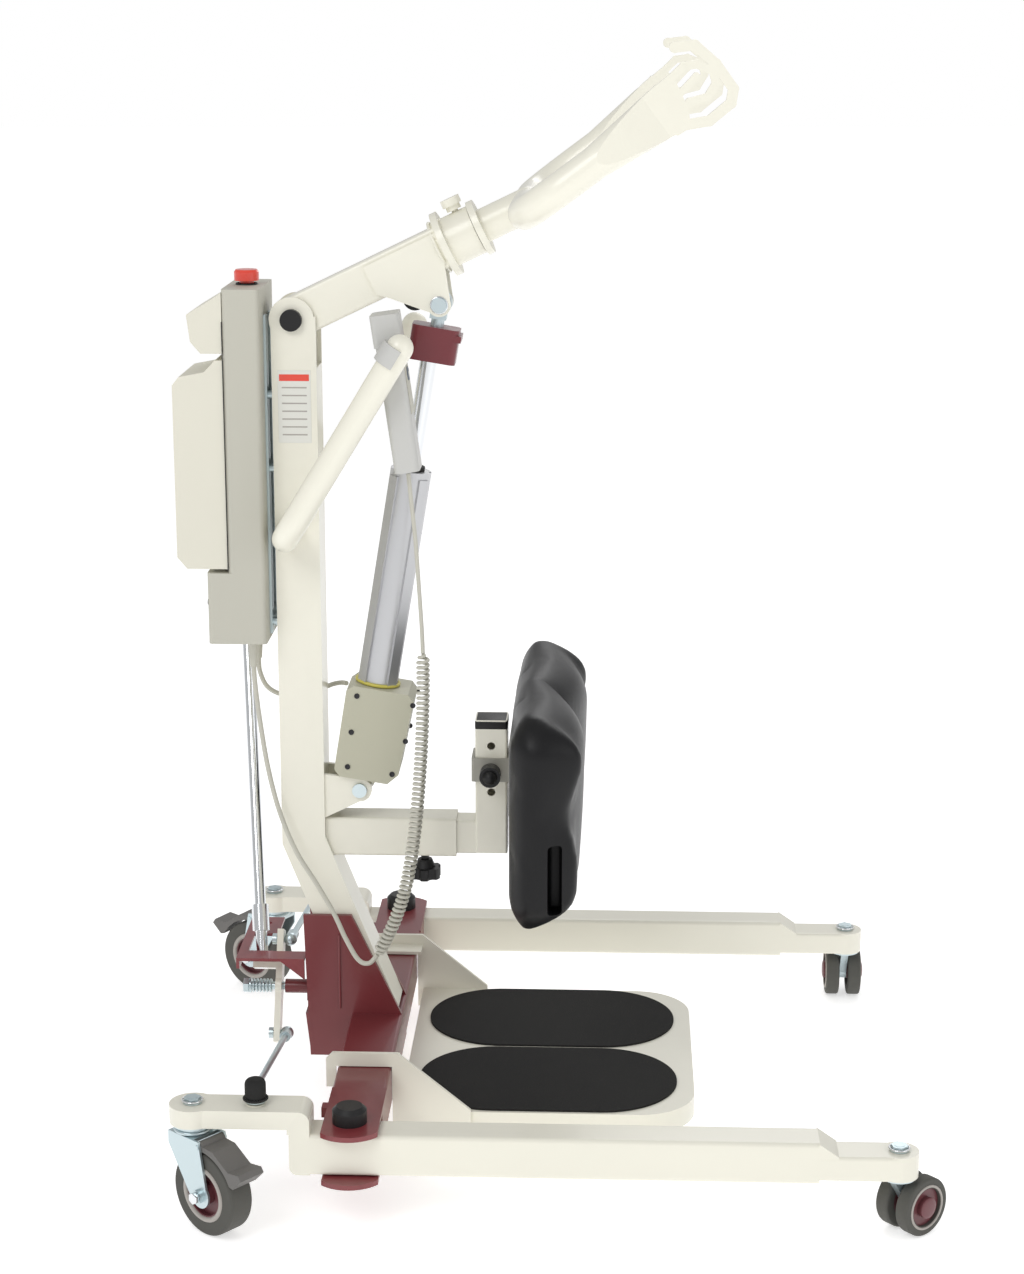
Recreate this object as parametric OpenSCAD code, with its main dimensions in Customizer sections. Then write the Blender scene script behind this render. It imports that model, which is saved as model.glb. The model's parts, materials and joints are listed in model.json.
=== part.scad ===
// Sit to stand lift: a caster base with two spreading legs, a mast, a powered
// boom with a two-armed sling yoke, a knee pad and a lift-off footplate.
// Millimetres. +X points along the legs towards the person being lifted,
// +Y is the caregiver's left, +Z is up. The origin is on the floor, below the
// middle of the whole lift.

/* [Overall] */
// Height of the boom's pivot above the floor
boom_pivot_z = 1009; // [960:1:1210]
// Distance from the leg pivots forward to the front caster bolts
leg_front = 629; // [525:1:755]
// Distance from the leg pivots back to the rear caster bolts
leg_back = 181; // [165:1:217]
// Half of the distance between the two leg pivots
leg_y = 356; // [320:1:430]
// Distance from the middle of the lift back to the mast's rear face
mast_back = 322; // [290:1:400]

/* [Base] */
// Distance from the mast's rear face forward to the leg pivots
pivot_ahead = 115; // [112:1:122]
// Height of the legs' underside above the floor
leg_z = 71; // [69:1:80]
// Height of the leg tube
leg_h = 50; // [42:1:60]
// Width of the leg tube
leg_w = 46; // [38:1:55]
// Height of the thinner front end of a leg
leg_nose_h = 30; // [28:1:40]
// Thickness of the raised rear arm of a leg
arm_h = 22; // [18:1:26]
// Width of the cross beam, along X
beam_w = 65; // [56:1:76]
// Wall of the steel tubes
tube_wall = 3; // [2:0.5:4]
// Thickness of the maroon pivot plates
plate_t = 6; // [4:0.5:8]
// Radius of the leg pivot bolt
leg_bolt_r = 8; // [6:0.5:10]
// Gap between a leg and each pivot plate
leg_gap = 1.5; // [1:0.5:3]

/* [Casters] */
// Radius of a rear wheel
rear_wheel_r = 50; // [42:1:53]
// Width of a rear wheel
rear_wheel_w = 32; // [26:1:38]
// Radius of a front wheel
front_wheel_r = 35; // [30:1:37]
// Width of each front twin wheel
front_wheel_w = 18; // [15:1:22]
// Radius of a caster's hub
hub_r = 27; // [20:1:32]
// Radius of the caster axles
axle_r = 5; // [4:0.5:6]

/* [Mast] */
// Size of the mast tube along X
mast_w = 54; // [50:1:64]
// Size of the mast tube along Y
mast_d = 60; // [56:1:72]
// Height at which the mast bends forward
mast_bend_z = 352; // [330:1:372]
// Lean of the mast's foot from upright, in degrees
mast_lean = 21.5; // [18:0.5:24]
// Diameter of the handlebar tube
bar_d = 32; // [26:1:38]
// Half of the distance between the two handle arms
bar_y = 110; // [100:1:132]
// Height at which the handlebar crosses the mast
bar_z = 752; // [700:1:800]
// Length of the straight part of each handle arm
bar_len = 235; // [200:1:260]

/* [Boom] */
// Size of the boom's square tube
boom_s = 50; // [44:1:52]
// Distance from the boom's pivot to the rod pin, along the boom
lug_along = 167; // [150:1:185]
// Distance from the boom's axis down to the rod pin
lug_drop = 60; // [54:1:66]
// Length of the boom tube ahead of its pivot
boom_len = 206; // [195:1:240]
// Radius of the boom's pivot pin
boom_pin_r = 9; // [7:0.5:11]
// Half of the distance between the yoke's arms
yoke_y = 190; // [160:1:228]
// Diameter of the yoke tube
yoke_d = 38; // [32:1:44]
// Length of the yoke's arms ahead of its cross tube
yoke_len = 205; // [175:1:245]

/* [Actuator] */
// Diameter of the actuator tube
act_d = 50; // [44:1:54]
// Length of the actuator from its base pin to the top of its tube
act_len = 407; // [380:1:425]
// Radius of the chrome rod
rod_r = 10; // [8:0.5:11]
// Radius of the pins at the actuator's two ends
act_pin_r = 6; // [5:0.5:7]

/* [Knee support] */
// Height of the knee arm above the floor
knee_z = 360; // [350:1:372]
// Height of the knee post above the arm's axis
post_h = 140; // [120:1:170]
// Width of the knee pad
pad_w = 440; // [370:1:528]
// Height of the knee pad
pad_h = 268; // [225:1:320]
// Thickness of the knee pad
pad_t = 88; // [75:1:105]

/* [Footplate] */
// Length of the foot tray
tray_l = 360; // [320:1:400]
// Width of the foot tray
tray_w = 396; // [340:1:430]
// Height of the tray's top above the floor
tray_z = 70; // [60:1:76]

/* [Control box] */
// Width of the control box, along Y
box_w = 124; // [104:1:140]
// Height of the control box
box_h = 430; // [400:1:450]
// Height of the control box's underside
box_z = 618; // [600:1:660]

/* [Hidden] */
$fn = 64;

// Clearances
run_gap = 0.06;   // radial gap of a pin or shaft that turns
slide_gap = 0.5;  // gap around a tube that slides in another
soft_gap = 0.3;   // gap around a soft piece

cream = [0.94, 0.94, 0.88];
maroon = [0.44, 0.12, 0.14];
zinc = [0.78, 0.84, 0.86];
black = [0.14, 0.14, 0.15];
box_grey = [0.78, 0.77, 0.72];
shell_grey = [0.88, 0.87, 0.81];
motor_grey = [0.74, 0.73, 0.66];

// Places along X
mast_x = -mast_back;                     // mast's rear face
mast_mid_x = mast_x + mast_w/2;
mast_front_x = mast_x + mast_w;
pivot_x = mast_x + pivot_ahead;          // leg pivots and cross beam
front_x = pivot_x + leg_front;           // front caster bolts
rear_x = pivot_x - leg_back;             // rear caster bolts
beam_x = pivot_x + 2;                    // middle of the cross beam

// Heights of the base
leg_top_z = leg_z + leg_h;
plate_top_z = leg_top_z + leg_gap + plate_t;
plate_low_z = leg_z - leg_gap - plate_t;
beam_z = leg_z + 8;
beam_h = plate_top_z - beam_z;
leg_in_y = leg_y - leg_w/2;              // inner face of a leg
beam_end_y = leg_in_y - 11;              // end of the cross beam
arm_top_z = leg_top_z + 28;
arm_x = pivot_x - 56;                    // where the leg steps up

// Shifter
lever_x = mast_x - 12;                   // middle of the lever bar
lever_z = 150;                           // lever pivot
lever_r = 60;                            // pivot to each tie rod
lever_lean = 27;
rod_back = 24;                           // shifter rod behind the lever bar
gate_z = 196;                            // underside of the gate plate
gate_t = 4;
ball_back = 108;                         // leg pivot to boot, along X

// Boom and actuator
boom_angle = 25.6;
boom_x = mast_x + 25;
rod_pin_x = boom_x + lug_along*cos(boom_angle) + lug_drop*sin(boom_angle);
rod_pin_z = boom_pivot_z + lug_along*sin(boom_angle) - lug_drop*cos(boom_angle);
act_x = mast_x + 98;                     // actuator's base pin
act_z = boom_pivot_z - 586;
act_dx = rod_pin_x - act_x;
act_dz = rod_pin_z - act_z;
act_tilt = atan2(act_dx, act_dz) - 0.36; // tilt from upright at rest
pin_dist = sqrt(act_dx*act_dx + act_dz*act_dz);
lug_t = 4;                               // boom lug plates
ear_t = 4;                               // mast's top ears
cup_low = pin_dist - 70;                 // quick-release grip's lower face
cup_high = pin_dist - 26;
cup_cavity_w = 21;                       // half of the cavity across the rod

// Knee support
knee_out = [mast_front_x, mast_x + 218]; // ends of the outer tube
knee_s = 50;                             // outer tube height
knee_d = 44;                             // outer tube width
post_x = mast_x + 262;                   // middle of the post
post_s = 40;
pad_x = mast_x + 291;                    // back of the knee pad
pad_mid_z = knee_z + 73;

// Footplate
tray_x = pivot_x + 43;                   // rear edge of the tray
gusset_t = 5;
gusset_y = tray_w/2 + gusset_t;

// Control box
box_front_x = mast_x - 9;
column_t = 45;
box_top_z = box_z + box_h;

// Handlebar
bar_x = mast_x + 18;
bar_tilt = 58.6;                         // rise of the handle arms
bar_bend = 40;
bar_wall = 2.5;

module rounded_rect(w, h, r) {
    square([w - 2*r, h], center=true);
    square([w, h - 2*r], center=true);
    for (sx = [-1, 1]) for (sy = [-1, 1])
        translate([sx*(w/2 - r), sy*(h/2 - r)]) circle(r);
}

// A hollow rectangular tube along X
module tube_along_x(x0, x1, w, h, r, wall) {
    translate([x0, 0, 0]) rotate([90, 0, 90]) linear_extrude(x1 - x0) difference() {
        rounded_rect(w, h, r);
        rounded_rect(w - 2*wall, h - 2*wall, max(r - wall, 0.5));
    }
}

// A side profile in the X-Z plane, extruded along Y from y0 to y1
module side_plate(y0, y1) {
    translate([0, y1, 0]) rotate([90, 0, 0]) linear_extrude(y1 - y0) children();
}

module rod_y(r, y0, y1) {
    translate([0, y0, 0]) rotate([-90, 0, 0]) cylinder(r=r, h=y1 - y0);
}

module rod_x(r, x0, x1) {
    translate([x0, 0, 0]) rotate([0, 90, 0]) cylinder(r=r, h=x1 - x0);
}

module hex(af, h) {
    cylinder(d=af/cos(30), h=h, $fn=6);
}

// Mirror a child to the other side of the lift
module both_sides() {
    children();
    mirror([0, 1, 0]) children();
}

// ---------------------------------------------------------------- base

module cross_beam() {
    socket_low = beam_z - 8;
    socket_top = mast_bend_z - 92;
    color(maroon) {
        difference() {
            union() {
                // Beam tube
                translate([beam_x, 0, beam_z + beam_h/2]) rotate([90, 0, 0])
                    linear_extrude(2*beam_end_y, center=true) difference() {
                        rounded_rect(beam_w, beam_h, 4);
                        rounded_rect(beam_w - 2*tube_wall, beam_h - 2*tube_wall, 1.5);
                    }
                both_sides() {
                    // Upper and lower pivot plates, with rounded outer ends
                    for (z = [plate_low_z, plate_top_z - plate_t]) pivot_plate(z);
                    // End web between the two plates
                    translate([beam_x - beam_w/2, beam_end_y - 60, plate_low_z])
                        cube([beam_w, plate_t, beam_z - plate_low_z + 1]);
                    translate([beam_x - beam_w/2, beam_end_y - plate_t, plate_low_z])
                        cube([beam_w, plate_t, plate_top_z - plate_low_z]);
                    // Stop peg behind the beam
                    translate([beam_x - beam_w/2 - 8, beam_end_y - 30, plate_top_z - 18])
                        cube([9, 16, 12]);
                }
                // Mast socket: two side plates, a back and a foot
                for (s = [-1, 1]) side_plate(s*(mast_d/2 + plate_t/2 + 0.2) - plate_t/2,
                    s*(mast_d/2 + plate_t/2 + 0.2) + plate_t/2) polygon([
                        [mast_x + 25, socket_top],
                        [mast_x + 86, socket_top],
                        [mast_x + 148, plate_top_z],
                        [mast_x + 148, socket_low],
                        [mast_x + 31, socket_low]]);
                side_plate(-mast_d/2 - 1, mast_d/2 + 1) polygon([
                    [mast_x + 25, socket_low + 55],
                    [mast_x + 29, socket_low + 55],
                    [mast_x + 33, socket_low],
                    [mast_x + 31, socket_low]]);
                translate([mast_x + 31, -mast_d/2 - 1, socket_low]) cube([117, mast_d + 2, plate_t]);
                // Tube that carries the shifter's bolt
                translate([0, 0, lever_z]) rod_x(9, lever_x + 8, mast_x + 31);
                translate([mast_x + 25, -14, lever_z - 14]) cube([7, 28, 28]);
            }
            // Room for the mast's foot
            mast_body(0.2);
            both_sides() translate([pivot_x, leg_y, plate_low_z - 1])
                cylinder(r=leg_bolt_r + run_gap, h=plate_top_z - plate_low_z + 2);
            translate([0, 0, lever_z]) rod_x(5.02, lever_x, mast_x + 60);
        }
    }
}

module pivot_plate(z) {
    translate([0, 0, z]) linear_extrude(plate_t) union() {
        translate([beam_x - beam_w/2, beam_end_y - 60]) square([beam_w, leg_y - beam_end_y + 60]);
        translate([pivot_x, leg_y]) intersection() {
            circle(44);
            translate([beam_x - pivot_x - beam_w/2, -10]) square([beam_w, 60]);
        }
    }
}

// The mast's outline, grown by a gap
module mast_body(g) {
    t = tan(mast_lean);
    foot_z = plate_top_z + 6 - g;
    front_bend_z = mast_bend_z + mast_w*tan(mast_lean/2);
    side_plate(-mast_d/2 - g, mast_d/2 + g) polygon([
        [mast_x - g, boom_pivot_z + 4],
        [mast_x - g, mast_bend_z],
        [mast_x - g + (mast_bend_z - foot_z)*t, foot_z],
        [mast_front_x + g + (front_bend_z - foot_z)*t, foot_z],
        [mast_front_x + g, front_bend_z],
        [mast_front_x + g, boom_pivot_z + 4]]);
}

module mast() {
    t = tan(mast_lean);
    foot_z = plate_top_z + 6;
    front_bend_z = mast_bend_z + mast_w*tan(mast_lean/2);
    inside = mast_w - 2*tube_wall;
    color(cream) difference() {
        union() {
            mast_body(0);
            // Rounded ears around the boom's pivot
            translate([boom_x, 0, boom_pivot_z]) rod_y(27, -mast_d/2, mast_d/2);
            translate([mast_x, -mast_d/2, boom_pivot_z - 40]) cube([mast_w, mast_d, 44]);
            // Lugs for the actuator's base pin
            for (s = [-1, 1]) side_plate(s*24 - 3, s*24 + 3) union() {
                polygon([[mast_front_x - 1, act_z + 20], [act_x, act_z + 15],
                    [act_x + 12, act_z - 9], [mast_front_x - 1, act_z - 37]]);
                translate([act_x, act_z]) circle(15);
            }
        }
        // Hollow of the tube, from the foot to the boom's slot
        side_plate(-mast_d/2 + tube_wall, mast_d/2 - tube_wall) polygon([
            [mast_x + tube_wall, boom_pivot_z - 62],
            [mast_x + tube_wall, mast_bend_z],
            [mast_x + tube_wall + (mast_bend_z - foot_z + 2)*t, foot_z - 2],
            [mast_x + tube_wall + inside + (front_bend_z - foot_z + 2)*t, foot_z - 2],
            [mast_front_x - tube_wall, front_bend_z],
            [mast_front_x - tube_wall, boom_pivot_z - 62]]);
        // Slot for the boom between the ears
        translate([mast_x - 10, -mast_d/2 + ear_t, boom_pivot_z - 58])
            cube([mast_w + 40, mast_d - 2*ear_t, 130]);
        translate([boom_x, 0, boom_pivot_z]) rod_y(boom_pin_r + run_gap, -50, 50);
        translate([bar_x, 0, bar_z]) rod_y(bar_d/2 + 0.2, -50, 50);
        translate([act_x, 0, act_z]) rod_y(act_pin_r + run_gap, -40, 40);
    }
}

module knee_tube() {
    color(cream) translate([0, 0, knee_z]) difference() {
        tube_along_x(knee_out[0] + 0.2, knee_out[1], knee_d, knee_s, 4, tube_wall);
        // Cut to the bend in the mast
        translate([0, 0, -knee_z]) mast_body(0.15);
        // Hole for the star knob's screw
        translate([knee_out[1] - 41, 0, -knee_s]) cylinder(r=5 + run_gap, h=knee_s);
    }
}

// Cross-section of a round tube
module tube_ring(d, wall) {
    difference() {
        circle(d=d, $fn=48);
        circle(d=d - 2*wall, $fn=48);
    }
}

// A tube bent a quarter turn from +Y to +X, then straight for length l
module bent_tube(d, wall, bend, l) {
    translate([bend, 0, 0]) rotate([0, 0, 90])
        rotate_extrude(angle=90, $fn=48) translate([bend, 0]) tube_ring(d, wall);
    translate([bend, bend, 0]) rotate([90, 0, 90]) linear_extrude(l) tube_ring(d, wall);
}

module handlebar() {
    straight = bar_y - bar_bend;
    color(cream) translate([bar_x, 0, bar_z]) difference() {
        rotate([0, -bar_tilt, 0]) {
            rotate([90, 180, 0]) linear_extrude(2*straight, center=true)
                tube_ring(bar_d, bar_wall);
            both_sides() translate([0, straight, 0]) {
                bent_tube(bar_d, bar_wall, bar_bend, bar_len);
                // Domed end
                translate([bar_bend + bar_len, bar_bend, 0]) rotate([90, 0, 90])
                    rotate_extrude($fn=48) intersection() {
                        circle(d=bar_d, $fn=48);
                        square(bar_d);
                    }
            }
        }
        // Vent into the mast
        translate([0, 0, -bar_d/2 - 1]) cylinder(r=vent_r, h=bar_d/2);
    }
}

module pivot_pins() {
    color(zinc) {
        translate([boom_x, 0, boom_pivot_z]) rod_y(boom_pin_r, -mast_d/2 - 3, mast_d/2 + 3);
        translate([act_x, 0, act_z]) {
            rod_y(act_pin_r, -30, 30);
            for (s = [-1, 1]) translate([0, s*29.5, 0]) rod_y(9, -2, 2);
        }
        both_sides() translate([pivot_x, leg_y, 0]) {
            translate([0, 0, plate_low_z - 10]) cylinder(r=leg_bolt_r, h=plate_top_z - plate_low_z + 16);
            translate([0, 0, plate_low_z - 8.1]) hex(24, 8);
            translate([0, 0, plate_low_z - 14]) cylinder(r1=5, r2=10, h=6);
        }
        // Shifter bolt with its head, washers and spring
        translate([0, 0, lever_z]) {
            rod_x(5, lever_x - 42, mast_x + 22);
            translate([lever_x - 46, 0, 0]) rotate([0, 90, 0]) hex(17, 7);
            rod_x(9.5, lever_x - 38, lever_x - 36);
            for (i = [0:5]) translate([lever_x - 33 + i*4.4, 0, 0]) rotate([0, 90, 0])
                rotate_extrude() translate([7.6, 0]) circle(1.3);
        }
    }
}

module pivot_caps() {
    color(black) {
        both_sides() {
            translate([boom_x, mast_d/2 + 0.1, boom_pivot_z]) difference() {
                rod_y(13, 0, 8);
                rod_y(boom_pin_r + 0.02, -1, 3.5);
            }
            translate([pivot_x, leg_y, plate_top_z + 0.1]) difference() {
                union() {
                    cylinder(r=20, h=15);
                    translate([0, 0, 15]) cylinder(r1=20, r2=15, h=5);
                }
                translate([0, 0, -1]) cylinder(r=leg_bolt_r + 0.02, h=8);
            }
        }
    }
}

module box_bracket() {
    color(zinc) for (s = [-1, 1]) {
        translate([box_front_x + 0.1, s*20 - 9, box_z + 6]) cube([3, 18, box_h - 40]);
        for (z = [box_z + 20, box_z + 210, box_z + 300]) translate([0, s*20, z]) {
            rod_x(5, box_front_x + 3, mast_x - 0.1);
        }
    }
}

// ---------------------------------------------------------------- power

module control_box() {
    color(box_grey) difference() {
        union() {
            // Column against the mast
            translate([box_front_x - column_t/2, 0, box_z]) linear_extrude(box_h)
                rounded_rect(column_t, box_w, 6);
            // Foot with the sockets, under the battery
            translate([box_front_x - column_t/2 - 13, 0, box_z]) linear_extrude(88)
                rounded_rect(column_t + 26, box_w, 6);
        }
        translate([box_front_x - column_t/2, 0, box_z + 3]) linear_extrude(box_h - 6)
            rounded_rect(column_t - 6, box_w - 6, 3);
        // Seat of the emergency stop
        translate([box_front_x - column_t/2, 0, box_top_z - 10]) cylinder(r=9 + run_gap, h=20);
        // Cable entries
        for (y = [-22, 22]) translate([box_front_x - column_t/2, y, box_z - 1]) cylinder(r=6.02, h=8);
    }
}

module battery_dock() {
    x1 = box_front_x - column_t - 0.1;
    color(shell_grey) {
        // Upper shell that overhangs the battery's grip
        side_plate(-box_w/2 + 2, box_w/2 - 2) polygon([
            [x1, box_top_z - 4], [x1 - 12, box_top_z - 12], [x1 - 42, box_top_z - 30],
            [x1 - 38, box_top_z - 62], [x1 - 26, box_top_z - 76], [x1, box_top_z - 76]]);
        // Rails that the battery hangs on
        for (s = [-1, 1]) translate([x1 - 5, s*34 - 5, box_z + 120]) cube([5, 10, 180]);
    }
}

module emergency_stop() {
    color([0.94, 0.31, 0.25]) translate([box_front_x - column_t/2, 0, box_top_z]) {
        translate([0, 0, -8]) cylinder(r=9, h=13);
        translate([0, 0, 5]) cylinder(r=15, h=10);
        translate([0, 0, 15]) cylinder(r1=15, r2=13, h=3);
    }
}

module battery() {
    x1 = box_front_x - column_t - 0.6;
    x0 = x1 - 61;
    z0 = box_z + 91;
    z1 = box_top_z - 104;
    color(shell_grey) difference() {
        side_plate(-box_w/2 + 2, box_w/2 - 2) polygon([
            [x1, z0 + 2], [x1, z1 + 20], [x1 - 9, z1 + 20], [x1 - 22, z1 + 6], [x0 + 8, z1],
            [x0, z1 - 10], [x0, z0 + 16], [x0 + 12, z0 + 2]]);
        for (s = [-1, 1]) translate([x1 - 5.1, s*34 - 5.5, z0 - 1]) cube([6, 11, 240]);
    }
}

module strain_relief() {
    color(box_grey) translate([box_front_x - column_t/2, 0, box_z]) for (y = [-22, 22]) translate([0, y, 0]) {
        difference() {
            union() {
                translate([0, 0, -2.1]) cylinder(r=8, h=2);
                translate([0, 0, -38]) cylinder(r1=4.2, r2=6.5, h=36);
                translate([0, 0, -0.2]) cylinder(r=6, h=5);
            }
            translate([0, 0, -39]) cylinder(r=3.02, h=30);
        }
    }
}

// ---------------------------------------------------------------- shifter

module gate_plate() {
    rear = lever_x - 50;
    color(maroon) difference() {
        union() {
            translate([rear, -34, gate_z]) cube([43, 150, gate_t]);
            translate([rear, -34, gate_z - 10]) cube([gate_t, 150, 10 + gate_t]);
            // Arm to the mast socket
            translate([lever_x - 8, -34, gate_z]) cube([mast_x + 24.8 - lever_x + 8, 27, gate_t]);
            side_plate(-34, -30) polygon([[mast_x - 6, gate_z + 0.5], [mast_x + 24.8, gate_z + 0.5],
                [mast_x + 24.8, gate_z - 24]]);
        }
        // Slot that the lever swings in
        translate([lever_x - 38, -6, gate_z - 1]) cube([60, 62, gate_t + 2]);
        for (y = [72, 94]) translate([rear + 24, y, gate_z - 1]) cylinder(r=5, h=gate_t + 2);
    }
}

// Frame of the lever: at its pivot, leaning towards +Y
module at_lever() {
    translate([lever_x, 0, lever_z]) rotate([-lever_lean, 0, 0]) children();
}

module shifter_lever() {
    color(cream) at_lever() difference() {
        union() {
            translate([-4, -11, -lever_r - 12]) cube([8, 22, 2*lever_r + 24]);
            rod_x(14, -4, 4);
            // Ear behind the bar that holds the rod
            translate([-rod_back - 10, -10, 22]) cube([rod_back + 6.5, 20, 18]);
        }
        rod_x(5 + run_gap, -30, 30);
        for (s = [-1, 1]) translate([0, 0, s*lever_r]) rod_x(4 + run_gap, -20, 20);
        translate([-rod_back, 0, 21]) cylinder(r=shift_r + 0.82, h=20);
    }
}

shift_r = 7.5;                           // shifter rod
grip_z = 462;                            // grip's lower end, along the rod

// Leaning frame of the long rod
module at_rod() {
    at_lever() translate([-rod_back, 0, 42]) rotate([0, -5, 0]) children();
}

module shifter_rod() {
    color(zinc) {
        at_lever() translate([-rod_back, 0, 22]) cylinder(r=shift_r + 0.8, h=21);
        at_rod() cylinder(r=shift_r, h=grip_z + 96);
    }
    color(black) at_rod() difference() {
        translate([0, 0, 28]) cylinder(r=11, h=34);
        translate([0, 0, 27]) cylinder(r=shift_r + 0.02, h=36);
    }
}

module shifter_grip() {
    color(black) at_rod() difference() {
        union() {
            translate([0, 0, grip_z]) cylinder(r=14, h=104);
            translate([0, 0, grip_z + 104]) sphere(14);
            for (i = [0:3]) translate([0, 0, grip_z + 18 + i*22]) cylinder(r=15.5, h=8);
        }
        translate([0, 0, grip_z - 1]) cylinder(r=shift_r + 0.02, h=98);
    }
}

// A tie rod from a lever ball to the boot on a leg's arm; s is -1 for the
// right leg, on the lever's lower end, and +1 for the left leg.
module tie_rod(s) {
    ball = [lever_x + 12, s*lever_r*sin(lever_lean), lever_z + s*lever_r*cos(lever_lean)];
    foot = [pivot_x - ball_back, s*leg_y, arm_top_z + 18];
    d = foot - ball;
    run = sqrt(d.x*d.x + d.y*d.y);
    len = norm(d);
    color(zinc) {
        // Pin in the lever and ball housing
        translate(ball) {
            rod_x(4, -21, 0);
            rod_x(7, -23, -17.5);
            sphere(8.6);
        }
        translate(ball) rotate([0, 90 - atan2(d.z, run), atan2(d.y, d.x)]) {
            cylinder(r=7, h=26);
            cylinder(r=4, h=len - 6);
        }
    }
    // Boot over the leg's stud
    color(black) translate([foot.x, foot.y, arm_top_z + 3.5]) difference() {
        union() {
            cylinder(r=12, h=15);
            translate([0, 0, 15]) intersection() {
                sphere(12);
                cylinder(r=13, h=13);
            }
        }
        translate([0, 0, -1]) cylinder(r=9, h=14);
    }
}

module tie_rod_right() { tie_rod(-1); }
module tie_rod_left() { tie_rod(1); }

// ---------------------------------------------------------------- legs

module leg() {
    nose_x = front_x - 92;
    color(cream) translate([0, leg_y, 0]) difference() {
        union() {
            // Main tube
            translate([0, 0, leg_z + leg_h/2])
                tube_along_x(arm_x + 6, nose_x, leg_w, leg_h, 5, tube_wall);
            // Lower, thinner nose with a round end over the front caster
            translate([0, 0, leg_top_z - 16 - leg_nose_h/2]) {
                tube_along_x(nose_x - 30, front_x, leg_w - 0.5, leg_nose_h, 4, tube_wall);
                translate([front_x, 0, -leg_nose_h/2]) cylinder(d=leg_w - 0.5, h=leg_nose_h);
            }
            side_plate(-leg_w/2, leg_w/2) polygon([
                [nose_x - 1, leg_top_z], [nose_x + 22, leg_top_z - 16],
                [nose_x + 22, leg_top_z - 19], [nose_x - 1, leg_top_z - 19]]);
            // Raised rear arm with a round end over the rear caster
            translate([rear_x, -leg_w/2, arm_top_z - arm_h]) cube([arm_x - rear_x, leg_w, arm_h]);
            translate([rear_x, 0, arm_top_z - arm_h]) cylinder(d=leg_w + 8, h=arm_h);
            // Step from the arm down to the tube
            side_plate(-leg_w/2, leg_w/2) union() {
                translate([arm_x - 12, leg_z + 10]) square([24, arm_top_z - leg_z - 20]);
                translate([arm_x - 2, leg_z]) square([14, arm_top_z - leg_z - 10]);
                translate([arm_x - 2, leg_z + 10]) circle(10);
                translate([arm_x - 1, arm_top_z - 13]) circle(13);
                translate([arm_x - 14, arm_top_z - arm_h - 6]) square([12, 10]);
            }
        }
        translate([pivot_x, 0, leg_z - 1]) cylinder(r=leg_bolt_r + run_gap, h=leg_h + 2);
        translate([front_x, 0, 0]) cylinder(r=6 + run_gap, h=400);
        translate([rear_x, 0, 0]) cylinder(r=6 + run_gap, h=400);
    }
    // Bush around the pivot bolt, inside the tube
    color(zinc) {
        translate([pivot_x, leg_y, leg_z + tube_wall + 0.1]) difference() {
            cylinder(r=14, h=leg_h - 2*tube_wall - 0.2);
            translate([0, 0, -1]) cylinder(r=leg_bolt_r + run_gap, h=leg_h);
        }
        // Stud for the tie rod's boot
        translate([pivot_x - ball_back, leg_y, arm_top_z - 0.1]) {
            cylinder(r=11, h=1.2);
            cylinder(r=3.5, h=12);
        }
    }
}

module leg_left() { leg(); }
module leg_right() { mirror([0, 1, 0]) leg(); }

// ---------------------------------------------------------------- casters

rear_trail = 32;
front_trail = 24;
rear_fork_top = arm_top_z - arm_h;
front_fork_top = leg_top_z - 16 - leg_nose_h;
rear_half = rear_wheel_w/2 + 2;
brake_rise = 9;                          // brake pin above the tyre's top
brake_gap = 4;                           // open brake to tyre
front_half = 6;

// Place a caster: bolt at [x, y], trailing towards the angle yaw
module at_caster(x, y, yaw) {
    translate([x, y, 0]) rotate([0, 0, yaw]) children();
}

module rear_fork(x, y, yaw) {
    color(zinc) at_caster(x, y, yaw) difference() {
        union() {
            // Top plate, ball race and stem
            translate([0, 0, rear_fork_top - 3.2]) cylinder(r=24, h=3);
            translate([0, 0, rear_fork_top - 12]) cylinder(r=20, h=9);
            translate([0, 0, rear_fork_top - 15]) cylinder(r=6, h=arm_h + 22);
            translate([0, 0, arm_top_z + 0.3]) cylinder(r=11, h=1.5);
            translate([0, 0, arm_top_z + 1.7]) hex(17, 5);
            // Crown and two cheeks
            translate([-20, -rear_half - 3, rear_fork_top - 15]) cube([42, 2*rear_half + 6, 4]);
            for (s = [-1, 1]) side_plate(s*(rear_half + 1.5) - 1.5, s*(rear_half + 1.5) + 1.5) union() {
                polygon([[-20, rear_fork_top - 11], [-20, rear_fork_top - 26],
                    [rear_trail - 15, rear_wheel_r - 6], [rear_trail + 13, rear_wheel_r],
                    [32, rear_fork_top - 11]]);
                translate([rear_trail, rear_wheel_r]) circle(15);
            }
            // Axle
            translate([rear_trail, 0, rear_wheel_r]) {
                rod_y(axle_r, -rear_half - 9, rear_half + 9);
                rod_y(8, -rear_half - 8, -rear_half - 3);
                rod_y(8, rear_half + 3, rear_half + 8);
            }
        }
    }
}

module rear_tyre(x, y, yaw) {
    color([0.4, 0.4, 0.36]) at_caster(x, y, yaw) translate([rear_trail, 0, rear_wheel_r])
        rotate([90, 0, 0]) rotate_extrude($fn=96) translate([hub_r + 5.1, -rear_wheel_w/2]) {
            translate([0, 3]) square([rear_wheel_r - hub_r - 5.1, rear_wheel_w - 6]);
            square([rear_wheel_r - hub_r - 8.1, rear_wheel_w]);
            for (z = [3, rear_wheel_w - 3]) translate([rear_wheel_r - hub_r - 8.1, z]) circle(3);
        }
}

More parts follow.
